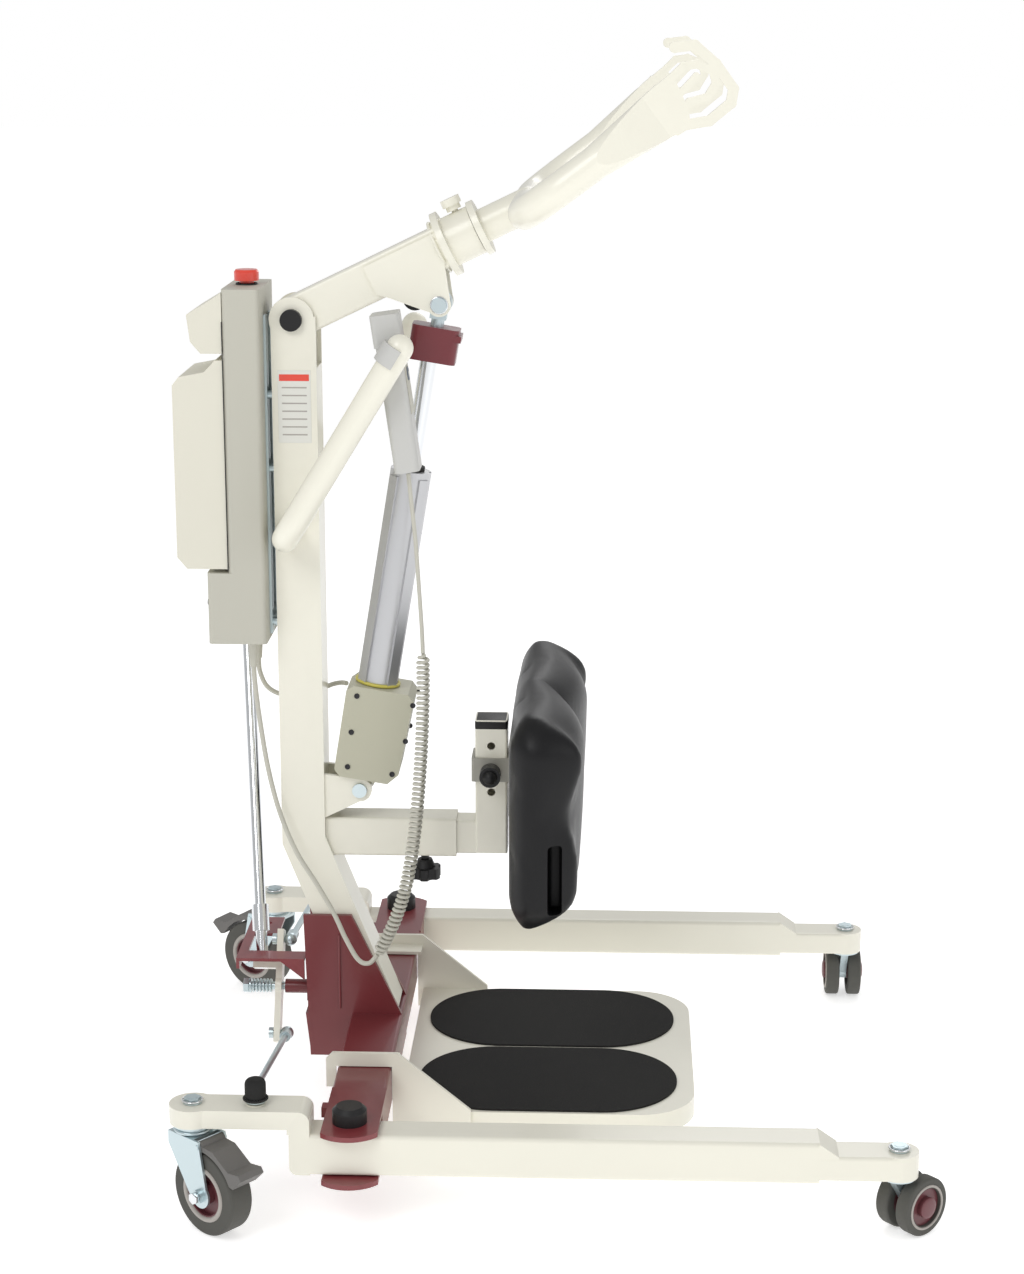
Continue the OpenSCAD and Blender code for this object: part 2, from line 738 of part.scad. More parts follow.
module rear_hub(x, y, yaw) {
    color(maroon) at_caster(x, y, yaw) translate([rear_trail, 0, rear_wheel_r])
        rotate([90, 0, 0]) rotate_extrude($fn=96) union() {
            translate([axle_r + run_gap, -rear_wheel_w/2 - 1]) square([8, rear_wheel_w + 2]);
            translate([axle_r + 7, -rear_wheel_w/2 + 7]) square([hub_r - axle_r - 5, rear_wheel_w - 14]);
            translate([hub_r - 1, -rear_wheel_w/2 + 1]) square([6, rear_wheel_w - 2]);
        }
}

module brake_pedal(x, y, yaw) {
    z0 = 2*rear_wheel_r;
    color([0.4, 0.38, 0.38]) at_caster(x, y, yaw) difference() {
        side_plate(-rear_half + 0.5, rear_half - 0.5) difference() {
            union() {
                polygon([[18, z0 - 2], [22, z0 + 11], [52, z0 + 9], [78, z0 - 8],
                    [96, z0 - 6], [100, z0 - 12], [86, z0 - 26], [60, z0 - 20]]);
                translate([30, z0 + brake_rise]) circle(6);
            }
            translate([rear_trail, rear_wheel_r]) circle(rear_wheel_r + brake_gap);
        }
        translate([30, 0, z0 + brake_rise]) rod_y(3 + run_gap, -30, 30);
    }
}

module rear_fork_right() { rear_fork(rear_x, -leg_y, rear_yaw_right); brake_pin(rear_x, -leg_y, rear_yaw_right); }
module rear_fork_left() { rear_fork(rear_x, leg_y, rear_yaw_left); brake_pin(rear_x, leg_y, rear_yaw_left); }

// Pin that the brake pedal turns on, held in the fork's cheeks
module brake_pin(x, y, yaw) {
    z0 = 2*rear_wheel_r;
    color(zinc) at_caster(x, y, yaw) {
        translate([30, 0, z0 + brake_rise]) rod_y(3, -rear_half - 4, rear_half + 4);
    }
}

rear_yaw_right = -40;
rear_yaw_left = 150;
front_yaw_right = 42;
front_yaw_left = 90;

module rear_tyre_right() { rear_tyre(rear_x, -leg_y, rear_yaw_right); }
module rear_tyre_left() { rear_tyre(rear_x, leg_y, rear_yaw_left); }
module rear_hub_right() { rear_hub(rear_x, -leg_y, rear_yaw_right); }
module rear_hub_left() { rear_hub(rear_x, leg_y, rear_yaw_left); }
module brake_pedal_right() { brake_pedal(rear_x, -leg_y, rear_yaw_right); }
module brake_pedal_left() { brake_pedal(rear_x, leg_y, rear_yaw_left); }

module front_fork(x, y, yaw) {
    color(zinc) at_caster(x, y, yaw) union() {
        translate([0, 0, front_fork_top - 2.7]) cylinder(r=20, h=2.5);
        translate([0, 0, front_fork_top - 4.5]) cylinder(r=16, h=2);
        translate([0, 0, front_fork_top - 9]) cylinder(r=6, h=leg_nose_h + 16);
        translate([0, 0, front_fork_top + leg_nose_h + 0.3]) cylinder(r=11, h=1.5);
        translate([0, 0, front_fork_top + leg_nose_h + 1.7]) hex(17, 5);
        // Single leg between the twin wheels
        side_plate(-front_half + 1, front_half - 1) union() {
            polygon([[-12, front_fork_top - 4], [front_trail - 12, front_wheel_r],
                [front_trail + 12, front_wheel_r], [front_trail + 4, front_fork_top - 4]]);
            translate([front_trail, front_wheel_r]) circle(12);
        }
        translate([front_trail, 0, front_wheel_r])
            rod_y(axle_r, -front_half - front_wheel_w - 1, front_half + front_wheel_w + 1);
    }
}

module front_tyres(x, y, yaw) {
    tread = front_wheel_r - hub_r + 4;
    color([0.35, 0.35, 0.33]) at_caster(x, y, yaw) translate([front_trail, 0, front_wheel_r])
        for (s = [-1, 1]) translate([0, s*(front_half + front_wheel_w/2), 0]) rotate([90, 0, 0])
            rotate_extrude($fn=96) union() {
                translate([hub_r - 4, -front_wheel_w/2]) square([tread - 3, front_wheel_w]);
                translate([hub_r - 4, -front_wheel_w/2 + 3]) square([tread, front_wheel_w - 6]);
                for (z = [-1, 1]) translate([front_wheel_r - 3, z*(front_wheel_w/2 - 3)]) circle(3);
            }
}

module front_hubs(x, y, yaw) {
    color(maroon) at_caster(x, y, yaw) translate([front_trail, 0, front_wheel_r])
        for (s = [-1, 1]) translate([0, s*(front_half + front_wheel_w/2), 0]) rotate([90, 0, 0])
            rotate_extrude($fn=96) union() {
                translate([axle_r + run_gap, -front_wheel_w/2]) square([7, front_wheel_w]);
                translate([axle_r + 6, -front_wheel_w/2 + 4]) square([hub_r - axle_r - 10.1, front_wheel_w - 8]);
            }
}

module front_fork_right() { front_fork(front_x, -leg_y, front_yaw_right); }
module front_fork_left() { front_fork(front_x, leg_y, front_yaw_left); }
module front_tyres_right() { front_tyres(front_x, -leg_y, front_yaw_right); }
module front_tyres_left() { front_tyres(front_x, leg_y, front_yaw_left); }
module front_hubs_right() { front_hubs(front_x, -leg_y, front_yaw_right); }
module front_hubs_left() { front_hubs(front_x, leg_y, front_yaw_left); }

// ---------------------------------------------------------------- boom

// Frame of the boom: origin at its pivot, +X along the tube
module at_boom() {
    translate([boom_x, 0, boom_pivot_z]) rotate([0, -boom_angle, 0]) children();
}

module boom() {
    color(cream) at_boom() difference() {
        union() {
            tube_along_x(-12, boom_len, boom_s, boom_s, 4, tube_wall);
            // Bush around the pivot pin
            rod_y(boom_pin_r + 5, -boom_s/2 + 0.5, boom_s/2 - 0.5);
            // Lugs that carry the rod pin
            for (s = [-1, 1]) side_plate(s*(boom_s/2 + lug_t/2 - 1) - lug_t/2,
                s*(boom_s/2 + lug_t/2 - 1) + lug_t/2) union() {
                    polygon([[lug_along - 62, -boom_s/2 + 8], [lug_along - 50, -boom_s/2 - 2],
                        [lug_along - 13, -lug_drop - 4], [lug_along + 13, -lug_drop - 4],
                        [lug_along + 39, boom_s/2 - 6], [lug_along - 62, boom_s/2 - 6]]);
                    translate([lug_along, -lug_drop]) circle(14);
                }
            // Collar: a socket with two flanges
            translate([boom_len - 12, 0, 0]) rotate([0, 90, 0]) difference() {
                union() {
                    cylinder(r=30, h=50);
                    translate([0, 0, 6]) cylinder(r=40, h=8);
                }
                translate([0, 0, -1]) cylinder(r=21, h=60);
            }
        }
        translate([lug_along, 0, -lug_drop]) rod_y(act_pin_r + run_gap, -50, 50);
        rod_y(boom_pin_r + run_gap, -50, 50);
        // Thread of the collar's knob
        translate([boom_len + 24, 0, 0]) cylinder(r=4 + run_gap, h=60);
    }
}

module boom_bumper() {
    color(black) at_boom() translate([lug_along - 23, 0, -boom_s/2 - 15.5]) difference() {
        rod_y(14.5, -boom_s/2 + 1.3, boom_s/2 - 1.3);
        rod_y(4, -30, 30);
    }
}

module rod_pin() {
    color(zinc) at_boom() translate([lug_along, 0, -lug_drop]) {
        rod_y(act_pin_r, -boom_s/2 - 5, boom_s/2 + 5);
        for (s = [-1, 1]) translate([0, s*(boom_s/2 + 5.5), 0]) rod_y(9, -2, 2);
    }
}

module collar_knob() {
    color(cream) at_boom() translate([boom_len + 24, 0, 0]) {
        translate([0, 0, 21.2]) cylinder(r=4, h=14);
        translate([0, 0, 32]) cylinder(r=9, h=6);
        translate([0, 0, 38]) cylinder(r=12, h=9);
    }
}

yoke_rise = 10.9;                        // the yoke's plane above the boom's
yoke_bend = 62;
yoke_wall = 3;
vent_r = 2.5;                            // vent holes of the closed tubes
hook_t = 12;                             // thickness of the hook plates
hook_from = 105;                         // the tube is pressed flat over this length
yoke_x = boom_len + 106;                 // cross tube, along the boom

// A bent bar of width w along a list of points, a little fuller at its bends
module bent_bar(points, w) {
    for (p = points) translate(p) circle(w/2 + 0.3);
    for (i = [0:len(points) - 2]) let(d = points[i + 1] - points[i])
        translate(points[i]) rotate(atan2(d.y, d.x)) translate([0, -w/2]) square([norm(d), w]);
}

// Flattened arm end with its open D-shaped sling hook and inner hook
module yoke_end() {
    r = yoke_d/2;
    translate([yoke_len, yoke_y, 0]) {
        // Tube pressed flat towards its end
        intersection() {
            translate([-hook_from, 0, 0]) rotate([90, 0, 90])
                cylinder(r1=r, r2=29.5, h=hook_from - 2, $fn=48);
            linear_extrude(3*yoke_d, center=true) polygon([
                [-hook_from - 1, r + 1], [-60, 13], [-22, hook_t/2], [0, hook_t/2],
                [0, -hook_t/2], [-22, -hook_t/2], [-60, -13], [-hook_from - 1, -r - 1]]);
        }
        side_plate(-hook_t/2, hook_t/2) union() {
            polygon([[-20, 24], [-10, 28], [14, 29], [18, 20], [12, -14], [2, -31],
                [-14, -30], [-20, -24]]);
            bent_bar([[-4, -24], [23, -37.5], [53, -36], [64, -25], [64, 8], [57, 38], [38, 49]], 11.5);
            bent_bar([[11, 24], [34, 27], [47, 20], [57, 4], [52, -9], [36, -15.5], [17, -8]], 9);
            bent_bar([[12, 5], [39, 10]], 8);
        }
    }
}

module yoke() {
    color(cream) at_boom() difference() {
        union() {
            // Stem in the collar
            rod_x(21 - slide_gap, boom_len - 8, yoke_x);
            rod_x(34, boom_len + 39, boom_len + 47);
            translate([yoke_x, 0, 0]) {
                sphere(21, $fn=24);
                rotate([0, -yoke_rise, 0]) {
                    rotate([90, 180, 0]) linear_extrude(2*(yoke_y - yoke_bend), center=true)
                        tube_ring(yoke_d, yoke_wall);
                    both_sides() {
                        translate([0, yoke_y - yoke_bend, 0])
                            bent_tube(yoke_d, yoke_wall, yoke_bend, yoke_len - hook_from - yoke_bend);
                        yoke_end();
                    }
                }
            }
        }
        // Vent below the cross tube
        translate([yoke_x, yoke_y/3, -yoke_d]) cylinder(r=vent_r, h=yoke_d);
        // Dimple for the collar's knob
        translate([boom_len + 24, 0, 15]) cylinder(r=4 + run_gap, h=10);
    }
}

// ---------------------------------------------------------------- actuator

// Frame of the actuator: origin at its base pin, +Z along the rod
module at_actuator() {
    translate([act_x, 0, act_z]) rotate([0, act_tilt, 0]) children();
}

house_w = 84;
house_d = 70;
house_low = 16;
house_high = 134;

module housing_outline(inset) {
    translate([7, 0, 0]) rotate([90, 0, 0]) linear_extrude(house_d/2 - inset) polygon([
        [-house_w/2 + inset + 8, house_low + inset], [house_w/2 - inset - 16, house_low + inset],
        [house_w/2 - inset - 4, house_low + inset + 14], [house_w/2 - inset, house_high - inset - 8],
        [house_w/2 - inset - 8, house_high - inset], [-house_w/2 + inset + 8, house_high - inset],
        [-house_w/2 + inset, house_high - inset - 8], [-house_w/2 + inset, house_low + inset + 8]]);
}

// Right half, with the fork that holds the base pin
module motor_housing() {
    color(motor_grey) at_actuator() difference() {
        union() {
            housing_outline(0);
            rod_y(13, -20, 20);
            translate([-13, -20, 0]) cube([26, 40, house_low + 2]);
        }
        difference() {
            translate([0, 1, 0]) housing_outline(3);
            translate([-15, -21, 0]) cube([30, 21, house_low + 6]);
        }
        rod_y(act_pin_r + run_gap, -40, 40);
        translate([0, 0, house_high - 8]) cylinder(r=act_d/2 + 0.1, h=20);
        translate([-60, 0.05, house_low + 2.05]) cube([120, 60, 160]);
    }
}

module motor_cover() {
    color(motor_grey) at_actuator() difference() {
        mirror([0, 1, 0]) housing_outline(0);
        translate([0, -1, 0]) mirror([0, 1, 0]) housing_outline(3);
        translate([0, 0, house_high - 8]) cylinder(r=act_d/2 + 0.1, h=20);
        translate([-60, -60, -10]) cube([120, 120, house_low + 12.1]);
        translate([-60, -20, -10]) cube([120, 20.15, 200]);
    }
}

module motor() {
    color([0.3, 0.3, 0.32]) at_actuator() {
        translate([26, 0, house_low + 20]) cylinder(r=16, h=86);
        translate([0, 0, house_low + 22]) cylinder(r=9, h=30);
        translate([-4, -5, house_low + 14]) cube([38, 10, 8]);
    }
}

module actuator_tube() {
    r = act_d/2;
    color([0.75, 0.75, 0.77]) at_actuator() {
        difference() {
            union() {
                translate([0, 0, house_high - 8]) cylinder(r=r, h=act_len - house_high + 8);
                // Ribs of the extrusion
                for (a = [45:90:315]) rotate([0, 0, a])
                    translate([r - 3, -7, house_high + 4]) cube([5, 14, act_len - house_high - 12]);
            }
            translate([0, 0, house_high - 9]) cylinder(r=r - 4, h=act_len - house_high + 1);
            translate([0, 0, act_len - 20]) cylinder(r=rod_r + run_gap, h=40);
            // Slot along the front
            translate([r - 3, -3, house_high + 3]) cube([10, 6, act_len]);
        }
    }
}

module piston_rod() {
    color(zinc) at_actuator() {
        translate([0, 0, act_len - 140]) cylinder(r=rod_r, h=cup_high - 18 - act_len + 140);
        translate([0, 0, act_len - 150]) cylinder(r=rod_r + 8, h=22);
    }
}

// Frame of the rod's eye: origin at the rod pin, -Z along the rod
module at_rod_end() {
    translate([rod_pin_x, 0, rod_pin_z]) rotate([0, act_tilt, 0]) children();
}

module rod_end() {
    color(zinc) at_rod_end() difference() {
        union() {
            rod_y(14, -12, 12);
            translate([-10, -12, -19]) cube([20, 24, 19]);
            translate([0, 0, -40]) cylinder(r=8, h=22);
            translate([0, 0, -40]) cylinder(r=11, h=4);
        }
        rod_y(act_pin_r + run_gap, -20, 20);
    }
}

module quick_release_grip() {
    h = cup_high - cup_low;
    color(maroon) at_rod_end() translate([0, 0, cup_low - pin_dist]) difference() {
        union() {
            linear_extrude(h - 2) rounded_rect(58, 42, 8);
            // Finger ledge
            translate([22, -21, h - 16]) cube([10, 42, 8]);
        }
        // Cavity that the rod's upper end floats in
        translate([0, 0, -1]) linear_extrude(h - 7) rounded_rect(2*cup_cavity_w, 2*rod_r + 5, 4);
        // Hole for the rod end's neck
        translate([0, 0, h - 14]) cylinder(r=8 + run_gap, h=20);
    }
}

// ---------------------------------------------------------------- knee

module knee_arm() {
    in_d = knee_d - 2*tube_wall - 2*slide_gap;
    in_h = knee_s - 2*tube_wall - 2*slide_gap;
    post_low = knee_z - 20;
    post_top = knee_z + post_h;
    color(cream) difference() {
        union() {
            translate([0, 0, knee_z])
                tube_along_x(knee_out[1] - 120, post_x - post_s/2 + 1, in_d, in_h, 3, tube_wall);
            translate([post_x, 0, post_low]) linear_extrude(post_top - post_low) difference() {
                rounded_rect(post_s, post_s, 3);
                rounded_rect(post_s - 2*tube_wall, post_s - 2*tube_wall, 1.5);
            }
        }
        for (dz = [60, 90, 120]) translate([post_x, 0, knee_z + dz]) rod_y(5 + run_gap, -40, 40);
    }
    color(black) translate([post_x, 0, post_top]) {
        linear_extrude(13) rounded_rect(post_s, post_s, 3);
        translate([0, 0, -14]) linear_extrude(14.1)
            rounded_rect(post_s - 2*tube_wall - 0.1, post_s - 2*tube_wall - 0.1, 1.5);
    }
}

module star_knob() {
    low = knee_z - knee_s/2;
    top = knee_z - knee_s/2 + tube_wall + slide_gap;
    color(black) translate([knee_out[1] - 41, 0, 0]) {
        translate([0, 0, low - 26]) cylinder(r=5, h=top - low + 26 - 0.1);
        translate([0, 0, low - 20]) cylinder(r1=13, r2=9, h=10);
        difference() {
            translate([0, 0, low - 34]) cylinder(r=20, h=14);
            for (a = [0:60:300]) rotate([0, 0, a]) translate([23, 0, low - 35]) cylinder(r=7, h=17);
        }
    }
}

bracket_z = knee_z + 90;

module pad_bracket() {
    g = slide_gap;
    out = post_s/2 + g + 4;
    color([0.62, 0.61, 0.56]) difference() {
        union() {
            translate([post_x, 0, bracket_z]) linear_extrude(30, center=true) difference() {
                rounded_rect(2*out, 2*out, 3);
                rounded_rect(post_s + 2*g, post_s + 2*g, 3);
            }
            // Plate behind the pad
            translate([pad_x - 5 - soft_gap, -70, bracket_z - 45]) cube([5, 140, 90]);
        }
        translate([post_x, 0, bracket_z]) rod_y(5 + run_gap, -40, 0);
    }
}

module pad_knob() {
    color(black) translate([post_x, 0, bracket_z]) {
        rod_y(5, -40, -post_s/2 - 0.4);
        rod_y(13, -56, -37);
        translate([0, -56, 0]) sphere(9);
    }
}

module knee_pad() {
    r = 30;
    slot_w = 22;
    color(black) difference() {
        translate([pad_x, 0, pad_mid_z]) union() {
            // Two lobes with a channel between them
            for (s = [-1, 1]) translate([0, s*(pad_w/4 + 1), 0]) {
                rotate([0, 90, 0]) linear_extrude(pad_t) rounded_rect(pad_h, pad_w/2 - 2, r);
            }
            translate([0, -pad_w/4, -pad_h/2 + 30]) cube([pad_t - 34, pad_w/2, pad_h - 60]);
        }
        // Strap slots through the outer ends
        for (s = [-1, 1]) translate([pad_x + pad_t - 44, s*(pad_w/2 - 14) - 24, pad_mid_z - 45])
            cube([slot_w, 48, 90]);
    }
}

// ---------------------------------------------------------------- footplate

module tray_outline(inset) {
    front_r = 70;
    translate([inset, -tray_w/2 + inset]) square([tray_l - front_r - inset, tray_w - 2*inset]);
    translate([inset, -tray_w/2 + front_r]) square([tray_l - 2*inset, tray_w - 2*front_r]);
    for (s = [-1, 1]) translate([tray_l - front_r, s*(tray_w/2 - front_r)]) circle(front_r - inset);
}

module footplate() {
    hook_top = plate_top_z + 18;
    rear = beam_x - beam_w/2;
    front = beam_x + beam_w/2;
    color(cream) {
        // Tray: a plate with a skirt turned down
        translate([tray_x, 0, tray_z - 26]) difference() {
            linear_extrude(26) tray_outline(0);
            translate([0, 0, -1]) linear_extrude(24) tray_outline(3);
        }
        // Hook plates that hang on the cross beam
        both_sides() side_plate(gusset_y - gusset_t, gusset_y) polygon([
            [rear - 14, hook_top - 8], [rear - 6, hook_top], [front + 8, hook_top],
            [front + 96, tray_z + 4], [front + 96, tray_z - 26], [front + 1, tray_z - 26],
            [front + 1, plate_top_z + 1], [rear - 2, plate_top_z + 1],
            [rear - 2, plate_top_z - 26], [rear - 14, plate_top_z - 26]]);
        // Cross strip that ties the hooks above the beam
        both_sides() translate([rear - 6, gusset_y - 34, plate_top_z + 1]) cube([beam_w + 14, 32, 4]);
    }
}

module tread_pads() {
    pw = tray_w/2 - 8;
    pl = 322;
    color(black) for (s = [-1, 1]) translate([tray_x + 17 + pl/2, s*(pw/2 + 3.5), tray_z + 0.05])
        linear_extrude(2.5) {
            square([pl - pw, pw], center=true);
            for (e = [-1, 1]) translate([e*(pl - pw)/2, 0]) circle(pw/2);
        }
}

// ---------------------------------------------------------------- handset

// Frame of the handset: at its middle, leaning with the handle's end
module at_handset() {
    translate([mast_x + 153, -bar_y + 44, 931]) rotate([0, -8, 0]) children();
}

module handset() {
    // Hook around the handle
    color([0.78, 0.78, 0.76]) translate([bar_x, -bar_y, bar_z]) rotate([0, -bar_tilt, 0])
        translate([bar_bend + bar_len - 25, 0, 0]) rotate([0, 90, 0]) difference() {
            cylinder(r=bar_d/2 + 4.3, h=24);
            translate([0, 0, -1]) cylinder(r=bar_d/2 + 0.3, h=26);
            translate([4, -30, -1]) cube([40, 60, 26]);
        }
    color([0.78, 0.78, 0.76]) at_handset() difference() {
        union() {
            translate([0, 0, -96]) linear_extrude(150) rounded_rect(30, 48, 7);
            translate([0, 0, 54]) linear_extrude(38) rounded_rect(34, 48, 7);
            translate([-2, -27.4, 34]) cube([17, 6, 20]);
        }
        for (z = [18, 48]) translate([0, 0, z]) rod_x(8 + run_gap, 10, 20);
        translate([0, 0, -97]) cylinder(r=2.52, h=6);
    }
}

module handset_button(z) {
    color([0.5, 0.52, 0.55]) at_handset() translate([0, 0, z]) rod_x(8, 12, 17.5);
}

module up_button() { handset_button(48); }
module down_button() { handset_button(18); }

// ---------------------------------------------------------------- cords

// One ring of a swept tube at point p, across the direction d
function ring(p, d, r, n) = let(u = d/norm(d), a = abs(u.y) < 0.9 ? [0, 1, 0] : [1, 0, 0],
    s = cross(u, a)/norm(cross(u, a)), t = cross(u, s))
    [for (k = [0:n - 1]) p + r*(cos(360*k/n)*s + sin(360*k/n)*t)];

// Catmull-Rom point between q[1] and q[2]
function between(q, t) = 0.5*(2*q[1] + (q[2] - q[0])*t
    + (2*q[0] - 5*q[1] + 4*q[2] - q[3])*t*t + (3*q[1] - q[0] - 3*q[2] + q[3])*t*t*t);

function smooth(p, m) = let(n = len(p)) concat([for (i = [0:n - 2]) for (j = [0:m - 1])
    between([p[max(i - 1, 0)], p[i], p[i + 1], p[min(i + 2, n - 1)]], j/m)], [p[n - 1]]);

module swept(points, r, n=8, m=3) {
    p = smooth(points, m);
    k = len(p);
    rings = [for (i = [0:k - 1]) ring(p[i], p[min(i + 1, k - 1)] - p[max(i - 1, 0)], r, n)];
    polyhedron([for (g = rings) each g], concat(
        [[for (j = [n - 1:-1:0]) j]],
        [for (i = [0:k - 2]) for (j = [0:n - 1])
            [i*n + j, i*n + (j + 1)%n, (i + 1)*n + (j + 1)%n, (i + 1)*n + j]],
        [[for (j = [0:n - 1]) (k - 1)*n + j]]));
}

// Routes are measured from the mast's rear face
HANDSET_ROUTE = [[166, -66, 831], [169, -66, 800], [174, -68, 750], [178, -70, 690],
    [181, -71, 640], [182, -72, 612]];
COIL_ROUTE = [[182, -72, 611], [182, -74, 560], [180, -78, 500], [176, -82, 440],
    [170, -86, 380], [160, -88, 320], [144, -88, 270], [124, -84, 228]];
CABLE_ROUTE = [[123, -84, 227], [112, -80, 214], [98, -74, 216], [82, -66, 240], [66, -58, 272],
    [44, -54, 310], [20, -52, 350], [0, -48, 400], [-14, -42, 455], [-24, -34, 515], [-30, -26, 560],
    [-31.5, -22, 580]];
ACTUATOR_ROUTE = [[-31.5, 22, 580], [-31, 25, 562], [-24, 34, 540], [-8, 40, 528],
    [14, 42, 526], [38, 42, 532], [58, 36, 542], [72, 20, 549], [80, 6, 552]];

function placed(route) = [for (p = route) [p.x + mast_x, p.y, p.z]];

module handset_cord() {
    color(box_grey) swept(placed(HANDSET_ROUTE), 2.5);
}

module coil_cord() {
    color(box_grey) swept(placed(COIL_ROUTE), 8.5, 12, 4);
}

module handset_cable() {
    color(box_grey) swept(placed(CABLE_ROUTE), 3);
}

module actuator_cable() {
    color(box_grey) swept(placed(ACTUATOR_ROUTE), 3);
}

cross_beam();
mast();
knee_tube();
handlebar();
pivot_pins();
pivot_caps();
box_bracket();
control_box();
battery_dock();
strain_relief();
gate_plate();
handset();
handset_cord();
coil_cord();
handset_cable();
actuator_cable();
emergency_stop();
battery();
up_button();
down_button();
leg_right();
leg_left();
tie_rod_right();
tie_rod_left();
shifter_lever();
shifter_rod();
shifter_grip();
rear_fork_right();
rear_fork_left();
rear_tyre_right();
rear_tyre_left();
rear_hub_right();
rear_hub_left();
brake_pedal_right();
brake_pedal_left();
front_fork_right();
front_fork_left();
front_tyres_right();
front_tyres_left();
front_hubs_right();
front_hubs_left();
boom();
boom_bumper();
rod_pin();
collar_knob();
yoke();
motor_housing();
motor_cover();
motor();
actuator_tube();
piston_rod();
rod_end();
quick_release_grip();
knee_arm();
star_knob();
pad_bracket();
pad_knob();
knee_pad();
footplate();
tread_pads();
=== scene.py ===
import json
import math

import bmesh
import bpy
from mathutils import Matrix, Vector


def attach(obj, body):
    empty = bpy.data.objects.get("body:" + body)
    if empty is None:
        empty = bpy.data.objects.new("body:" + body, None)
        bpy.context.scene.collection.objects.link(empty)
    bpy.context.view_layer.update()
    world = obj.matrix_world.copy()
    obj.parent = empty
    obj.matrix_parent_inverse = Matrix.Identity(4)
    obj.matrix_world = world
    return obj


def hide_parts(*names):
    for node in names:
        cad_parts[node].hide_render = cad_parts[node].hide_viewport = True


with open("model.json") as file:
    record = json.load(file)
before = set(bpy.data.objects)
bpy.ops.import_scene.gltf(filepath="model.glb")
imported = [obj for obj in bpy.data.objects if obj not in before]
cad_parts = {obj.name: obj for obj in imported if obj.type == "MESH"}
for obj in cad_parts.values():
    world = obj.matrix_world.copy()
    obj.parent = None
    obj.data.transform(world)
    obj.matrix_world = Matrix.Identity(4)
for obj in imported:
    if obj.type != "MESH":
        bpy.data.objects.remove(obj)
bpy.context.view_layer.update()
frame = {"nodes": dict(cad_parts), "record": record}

# ------------------------------------------------------------ places
MM = 0.001
MAST_BACK = -0.322
BOOM_PIVOT = Vector((MAST_BACK + 0.025, 0.0, 1.009))
BOOM_ANGLE = math.radians(25.6)
ACT_PIN = Vector((MAST_BACK + 0.098, 0.0, 0.423))
ROD_PIN = BOOM_PIVOT + Matrix.Rotation(-BOOM_ANGLE, 3, "Y") @ Vector((0.167, 0.0, -0.060))
ACT_TILT = math.atan2(ROD_PIN.x - ACT_PIN.x, ROD_PIN.z - ACT_PIN.z) - math.radians(0.36)
LEG_Y = 0.356
REAR_X = MAST_BACK - 0.066
FRONT_X = MAST_BACK + 0.744
BOOT_X = MAST_BACK + 0.007
REAR_R = 0.050
FRONT_R = 0.035
CASTERS = [
    ("rear_right", REAR_X, -LEG_Y, -40.0, 0.032, REAR_R),
    ("rear_left", REAR_X, LEG_Y, 150.0, 0.032, REAR_R),
    ("front_right", FRONT_X, -LEG_Y, 42.0, 0.024, FRONT_R),
    ("front_left", FRONT_X, LEG_Y, 90.0, 0.024, FRONT_R),
]


def place(origin, turn_y=0.0, turn_z=0.0):
    """Matrix of a frame at origin, turned about Y and then Z, in radians."""
    return (
        Matrix.Translation(origin)
        @ Matrix.Rotation(turn_z, 4, "Z")
        @ Matrix.Rotation(turn_y, 4, "Y")
    )


AT_ACTUATOR = place(ACT_PIN, ACT_TILT)
AT_BOOM = place(BOOM_PIVOT, -BOOM_ANGLE)

# ------------------------------------------------------------ camera
camera_data = bpy.data.cameras.new("camera")
camera_data.lens = 88.43
camera_data.sensor_width = 36.0
camera_data.sensor_fit = "HORIZONTAL"
camera_data.clip_end = 30.0
camera = bpy.data.objects.new("camera", camera_data)
camera.location = (MAST_BACK + 0.41066, -3.01458, 1.36869)
camera.rotation_euler = (math.radians(75.975), 0.0, math.radians(2.348))
bpy.context.scene.collection.objects.link(camera)
bpy.context.scene.camera = camera


# ------------------------------------------------------------ material kit
def new_group(name, inputs, outputs):
    """A shader node group with float or colour sockets."""
    group = bpy.data.node_groups.new(name, "ShaderNodeTree")
    for label, kind, value in inputs:
        socket = group.interface.new_socket(label, in_out="INPUT", socket_type=kind)
        if value is not None:
            socket.default_value = value
    for label, kind in outputs:
        group.interface.new_socket(label, in_out="OUTPUT", socket_type=kind)
    return group, group.nodes.new("NodeGroupInput"), group.nodes.new("NodeGroupOutput")


def link(tree, a, b):
    tree.links.new(a, b)


def math_node(tree, operation, a, b=None, clamp=False):
    node = tree.nodes.new("ShaderNodeMath")
    node.operation = operation
    node.use_clamp = clamp
    for socket, value in zip(node.inputs, (a, b)):
        if value is None:
            continue
        if isinstance(value, (int, float)):
            socket.default_value = value
        else:
            link(tree, value, socket)
    return node.outputs[0]


def mix_color(tree, fac, a, b):
    node = tree.nodes.new("ShaderNodeMix")
    node.data_type = "RGBA"
    for name, value in (("Factor_Float", fac), ("A_Color", a), ("B_Color", b)):
        socket = next(s for s in node.inputs if s.identifier == name)
        if isinstance(value, (int, float, tuple)):
            socket.default_value = value
        else:
            link(tree, value, socket)
    return next(s for s in node.outputs if s.identifier == "Result_Color")


def object_point(tree):
    return tree.nodes.new("ShaderNodeTexCoord").outputs["Object"]


FLOAT, COLOR, VECTOR = "NodeSocketFloat", "NodeSocketColor", "NodeSocketVector"


